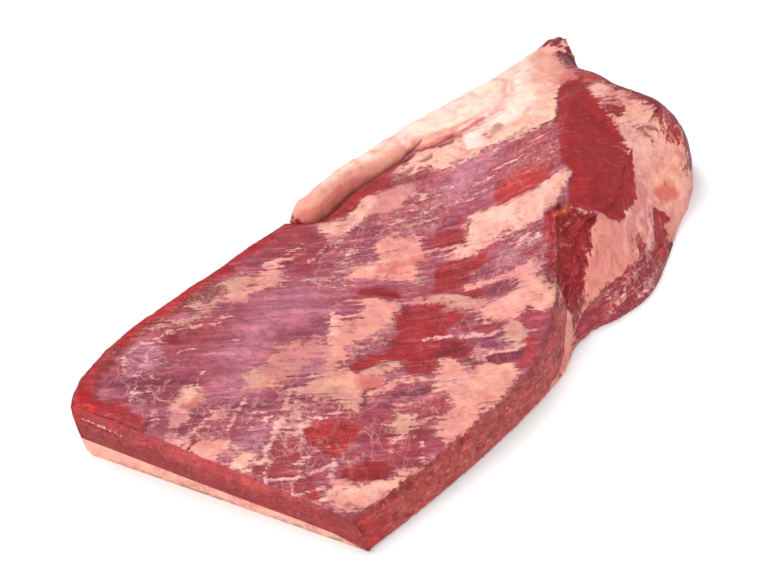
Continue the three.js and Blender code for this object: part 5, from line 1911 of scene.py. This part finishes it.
@dataclass
class PointMuscle:
    """The point muscle, whose torn near side shows under the seam fat."""

    form: Form
    spacing: float = 1.3
    hidden_columns: int = 6
    slope_columns: int = 26
    end_rows: int = 4

    def section(self, s: float) -> Section:
        """Returns the outline of the muscle at a station.

        Args:
            s: The station along the piece, in mm.

        Returns:
            Its outline.
        """
        form = self.form
        top_share = float(form.point_share(s))
        shares = np.linspace(0, top_share, self.slope_columns - 1)
        shares = np.insert(shares, -1, top_share - SLIVER)
        slope_y, slope_z = form.near_side(s, shares)
        return inner_layer(form, s, (slope_y, slope_z), self.hidden_columns,
                           (form.cap_sheet, form.point_sheet))

    def build(self, finish: bpy.types.Material) -> bpy.types.Object:
        """Builds and paints the muscle.

        Args:
            finish: The material.

        Returns:
            The piece.
        """
        form = self.form
        row = form.stations(form.point_start, form.point_end, self.spacing)
        skin = Skin(form, row, self.section, self.end_rows)
        x, y, z = skin.points.reshape(-1, 3).T
        drawn = skin.flat(skin.drawn)
        canvas = Canvas(x, y, z, 1.3 * z + 0.4 * y, x, PAINT_SEED)
        canvas.lay(Kind.MAUVE_RED, np.ones(len(x)))
        canvas.lay(Kind.LEAN_DARK, 0.8 * rise(x, 150, 166))
        canvas.lay(Kind.ROSE, 0.5 * rise(canvas.crumbly, 0.0, 0.6))
        canvas.lay(Kind.LEAN, 0.6 * rise(canvas.lumpy, 0.0, 0.6))
        canvas.lay(Kind.SEAM, 0.7 * rise(canvas.broad_streaky, 0.25, 0.7))
        canvas.lay(Kind.SEAM, 1 - rise(x, 10, 48))
        canvas.weave(0.9 * rise(x, 50, 80) * (1 - rise(x, 158, 168)))
        canvas.paint(SEAM_PATCHES[-6:])
        canvas.vary(0.14, 0.25, 0.08)
        columns = skin.column_numbers()
        shown = (columns >= 2 * self.hidden_columns - 1).astype(float)
        push = (canvas.relief() + 0.7 * canvas.crumbly) * shown
        push = push * (1 - rise(np.abs(drawn), 0.6, 1.0))
        return make_piece("lean_point", skin, canvas, push, finish, ("point_muscle",))


@dataclass
class FatCap:
    """The fat cap on the ground, with the roll that it makes along the far side."""

    form: Form
    spacing: float = 2.0
    sheet_columns: int = 90
    side_columns: int = 14
    roll_columns: int = 28
    wall_columns: int = 4
    end_rows: int = 7
    back_bulge: float = 5.4

    def section(self, s: float) -> Section:
        """Returns the outline of the cap at a station.

        Args:
            s: The station along the piece, in mm.

        Returns:
            Its outline.
        """
        form = self.form
        edge = float(form.near_side(s, 0.0)[0] + form.cap_inset(s))
        far = float(form.lean_far(s, form.cap_far))
        merged = form.merging(s)
        end_z = float(form.cap_sheet(s, np.array([far]))[0])
        rolled = s >= form.roll_start
        top, inner = end_z, far - 3
        outer_drop, inner_drop = 0.6, 0.3
        if rolled:
            top = form.rolled_top(s)
            inner = float(form.lean_far(s, end_z)) + 0.1 - form.roll_merge * merged
            far = min(far, inner)
            outer_drop = min(form.roll_outer, form.roll_outer_share * top)
            inner_drop = float(form.roll_cleft(s))
        sheet_y = lerp(edge, far, np.linspace(0, 1, self.sheet_columns))
        sheet_z = form.cap_sheet(s, sheet_y)
        end_z = float(sheet_z[-1])
        outer_z = top - outer_drop
        outer_y = float(form.far_side(s, outer_z))
        a = np.linspace(0, math.pi, self.roll_columns)
        roll_y = lerp(outer_y, inner, 0.5 - 0.5 * np.cos(a))
        roll_z = top - np.where(a < math.pi / 2, outer_drop, inner_drop) * (1 - np.sin(a))
        past = np.clip(a * 2 / math.pi - 1, 0, 1)
        roll_z = roll_z - merged * 2.2 * past * past - form.corner_slope(s, roll_y)
        wall = self.wall_columns
        if rolled:
            wall_y, wall_z = np.full(wall, inner), np.linspace(roll_z[-1], end_z, wall + 1)[1:]
        else:
            wall_y, wall_z = np.linspace(inner - 0.5, inner - 1, wall), np.full(wall, end_z)
        floor = float(form.far_side(s, 0.0))
        ground_y = lerp(edge, floor, np.linspace(0, 1, self.sheet_columns))
        side_z = lerp(0, outer_z, np.linspace(0, 1, self.side_columns)[1:-1])
        side_y = form.far_side(s, side_z)
        y = np.concatenate([ground_y, side_y, roll_y, wall_y, sheet_y[-2::-1]])
        z = np.concatenate([0 * ground_y, side_z, roll_z, wall_z, sheet_z[-2::-1]])
        half_y = np.clip(y, edge + 0.8, (outer_y + inner) / 2 if rolled else floor - 2)
        mid = np.interp(half_y, sheet_y, sheet_z) / 2
        index = np.arange(len(y))
        on_roll = (index >= len(ground_y)) & (index < len(y) - self.sheet_columns)
        upright = (y > far + 0.5) & (z > end_z)
        upright = (upright | on_roll & (z > end_z * 0.6)) & rolled
        half_y = np.where(upright, (outer_y + inner) / 2, half_y)
        core_z = np.where(upright, np.clip(z, mid, top - 8), mid)
        if rolled:
            foot = len(y) - self.sheet_columns
            half_y[foot], core_z[foot] = (outer_y + inner) / 2, mid[foot]
        return Section(y, z, half_y, core_z)

    def build(self, finish: bpy.types.Material) -> bpy.types.Object:
        """Builds and paints the cap.

        Args:
            finish: The material.

        Returns:
            The piece.
        """
        form = self.form
        row = form.stations(form.cut_end, form.thick_end, self.spacing)
        skin = Skin(form, row, self.section, self.end_rows, self.back_bulge)
        x, y, z = skin.points.reshape(-1, 3).T
        drawn = skin.flat(skin.drawn)
        canvas = Canvas(x, y, z, y, x, CAP_SEED)
        canvas.lay(Kind.PALE_FAT, np.ones(len(x)))
        # Whiter towards the top of the roll: partly the fat's own colour, partly a painted highlight where
        # the light falls on it.
        canvas.lay(Kind.WHITE_FAT, 0.6 * rise(z, 38, 50))
        canvas.lay(Kind.PEACH_FAT, 0.6 * rise(canvas.blotchy, 0.1, 0.8))
        inner = form.roll_inner(x)
        near_cleft = 1 - rise(y - inner, 1, 11)
        canvas.lay(Kind.PEACH_FAT, 0.8 * near_cleft * rise(z, 20, 34))
        canvas.lay(Kind.PEACH_FAT, 0.5 * (1 - rise(x, 0, 34)) * rise(z, 20, 30))
        # Painted shade: salmon on the roll beside its cleft with the lean.
        roll_cleft_shade = (1 - rise(y - inner, 0.8, 3.2)) * (1 - rise(x, 92, 110)) * rise(z, 16, 24)
        canvas.lay(Kind.SALMON, 0.35 * roll_cleft_shade)
        foot = rise(z, 16, 22) * (1 - rise(z, 34, 42)) * (1 - rise(x, -15, -12))
        canvas.lay(Kind.SCARLET, foot * (1 - rise(y - inner, 4, 10)))
        station = skin.flat(skin.station) + 2.5 * canvas.crumbly + 2.5 * canvas.blotchy
        canvas.lay(Kind.RUST, 0.8 * rise(station, 236, 241) * rise(z, 6, 20))
        canvas.paint(SMOOTH_PATCHES, rise(z, 26, 34))
        over_lean = rise(-drawn, 0.0, 0.1) * rise(z, 12, 15)
        over_lean = over_lean * (1 - rise(y - inner + 3 * canvas.crumbly, -4, 3))
        canvas.lay(Kind.LEAN, over_lean)
        front = rise(drawn, 0.0, 0.1)
        canvas.lay(Kind.CREAM_FAT, front)
        canvas.lay(Kind.PEACH_FAT, 0.8 * front * rise(y, -20, 40))
        edge = front * (1 - rise(z + 1.5 * canvas.crumbly, 0.8, 2.6))
        canvas.lay(Kind.STALE, 0.85 * edge * rise(canvas.lumpy, -0.3, 0.2) * (1 - rise(y, 0, 50)))
        low = 1 - rise(z, 0.5, 2.0)
        canvas.lay(Kind.CREAM_FAT, 0.6 * low * rise(canvas.blotchy, -0.1, 0.5))
        canvas.lay(Kind.SALMON, 0.4 * low * rise(canvas.crumbly, 0.3, 0.8))
        canvas.vary(0.05, 0.1, 0.03)
        columns = skin.column_numbers()
        covered = columns > skin.columns - self.sheet_columns
        push = (0.9 * canvas.blotchy + 0.3 * canvas.crumbly) * np.where(covered, 0, 1)
        push += 2 * bump(x - 270, y - 43, 7, 6) * rise(z, 30, 40)
        push = push * rise(z, 0.5, 8) * (1 - rise(np.abs(drawn), 0.7, 1.0))
        return make_piece("fat_under", skin, canvas, push, finish, ("fat_cap",))


@dataclass(frozen=True)
class Studio:
    """The camera, at the photograph's angle, and plain soft light."""

    distance: float = 1.3003
    look: tuple[float, float, float] = (0.604, 0.472, -0.643)
    lens: float = 85.0
    sensor: float = 36.0
    sky: float = 0.34

    def build(self) -> None:
        """Builds the camera, the lights and the sky."""
        scene = bpy.context.scene
        aim = Vector(to_part(np.zeros(3)))
        look = Vector(self.look).normalized()
        camera = bpy.data.objects.new("camera", bpy.data.cameras.new("camera"))
        camera.data.lens = self.lens
        camera.data.sensor_width = self.sensor
        camera.data.clip_start = 0.05
        camera.data.clip_end = 50.0
        camera.location = aim - look * self.distance
        camera.rotation_euler = look.to_track_quat("-Z", "Y").to_euler()
        scene.collection.objects.link(camera)
        scene.camera = camera
        self._lamp("key", (0.0, 0.62, 0.78), 34.0, 2.0)
        self._lamp("overhead", (-0.25, -0.2, 0.95), 80.0, 0.9)
        self._lamp("fill", (-0.72, -0.62, 0.32), 60.0, 2.3)
        world = bpy.data.worlds.new("studio")
        world.use_nodes = True
        sky = world.node_tree.nodes["Background"]
        sky.inputs["Color"].default_value = (1, 1, 1, 1)
        sky.inputs["Strength"].default_value = self.sky
        scene.world = world
        scene.view_settings.view_transform = "Standard"

    def _lamp(self, name: str, toward: tuple[float, float, float], spread: float,
              power: float) -> None:
        """Adds one broad far lamp that shines from a direction, with soft shadows.

        Args:
            name: The lamp's name.
            toward: The direction in which it stands.
            spread: How wide it looks, in degrees.
            power: Its power, in watts per square metre.
        """
        data = bpy.data.lights.new(name, "SUN")
        data.angle = math.radians(spread)
        data.energy = power
        lamp = bpy.data.objects.new(name, data)
        lamp.location = Vector(toward) * 2.0
        lamp.rotation_euler = (-Vector(toward)).to_track_quat("-Z", "Y").to_euler()
        bpy.context.scene.collection.objects.link(lamp)


def main() -> None:
    """Builds every piece in order and reports each."""
    logging.basicConfig(level=logging.INFO, format="%(message)s")
    log = logging.getLogger("brisket")
    Studio().build()
    PaleFloor().build()
    finish = RawMeat().build()
    form = Form()
    for maker in (FlatMuscle(form), SeamFat(form), PointMuscle(form), FatCap(form)):
        piece = maker.build(finish)
        log.info("%s: %d faces", piece.name, len(piece.data.polygons))


if __name__ == "__main__":
    main()
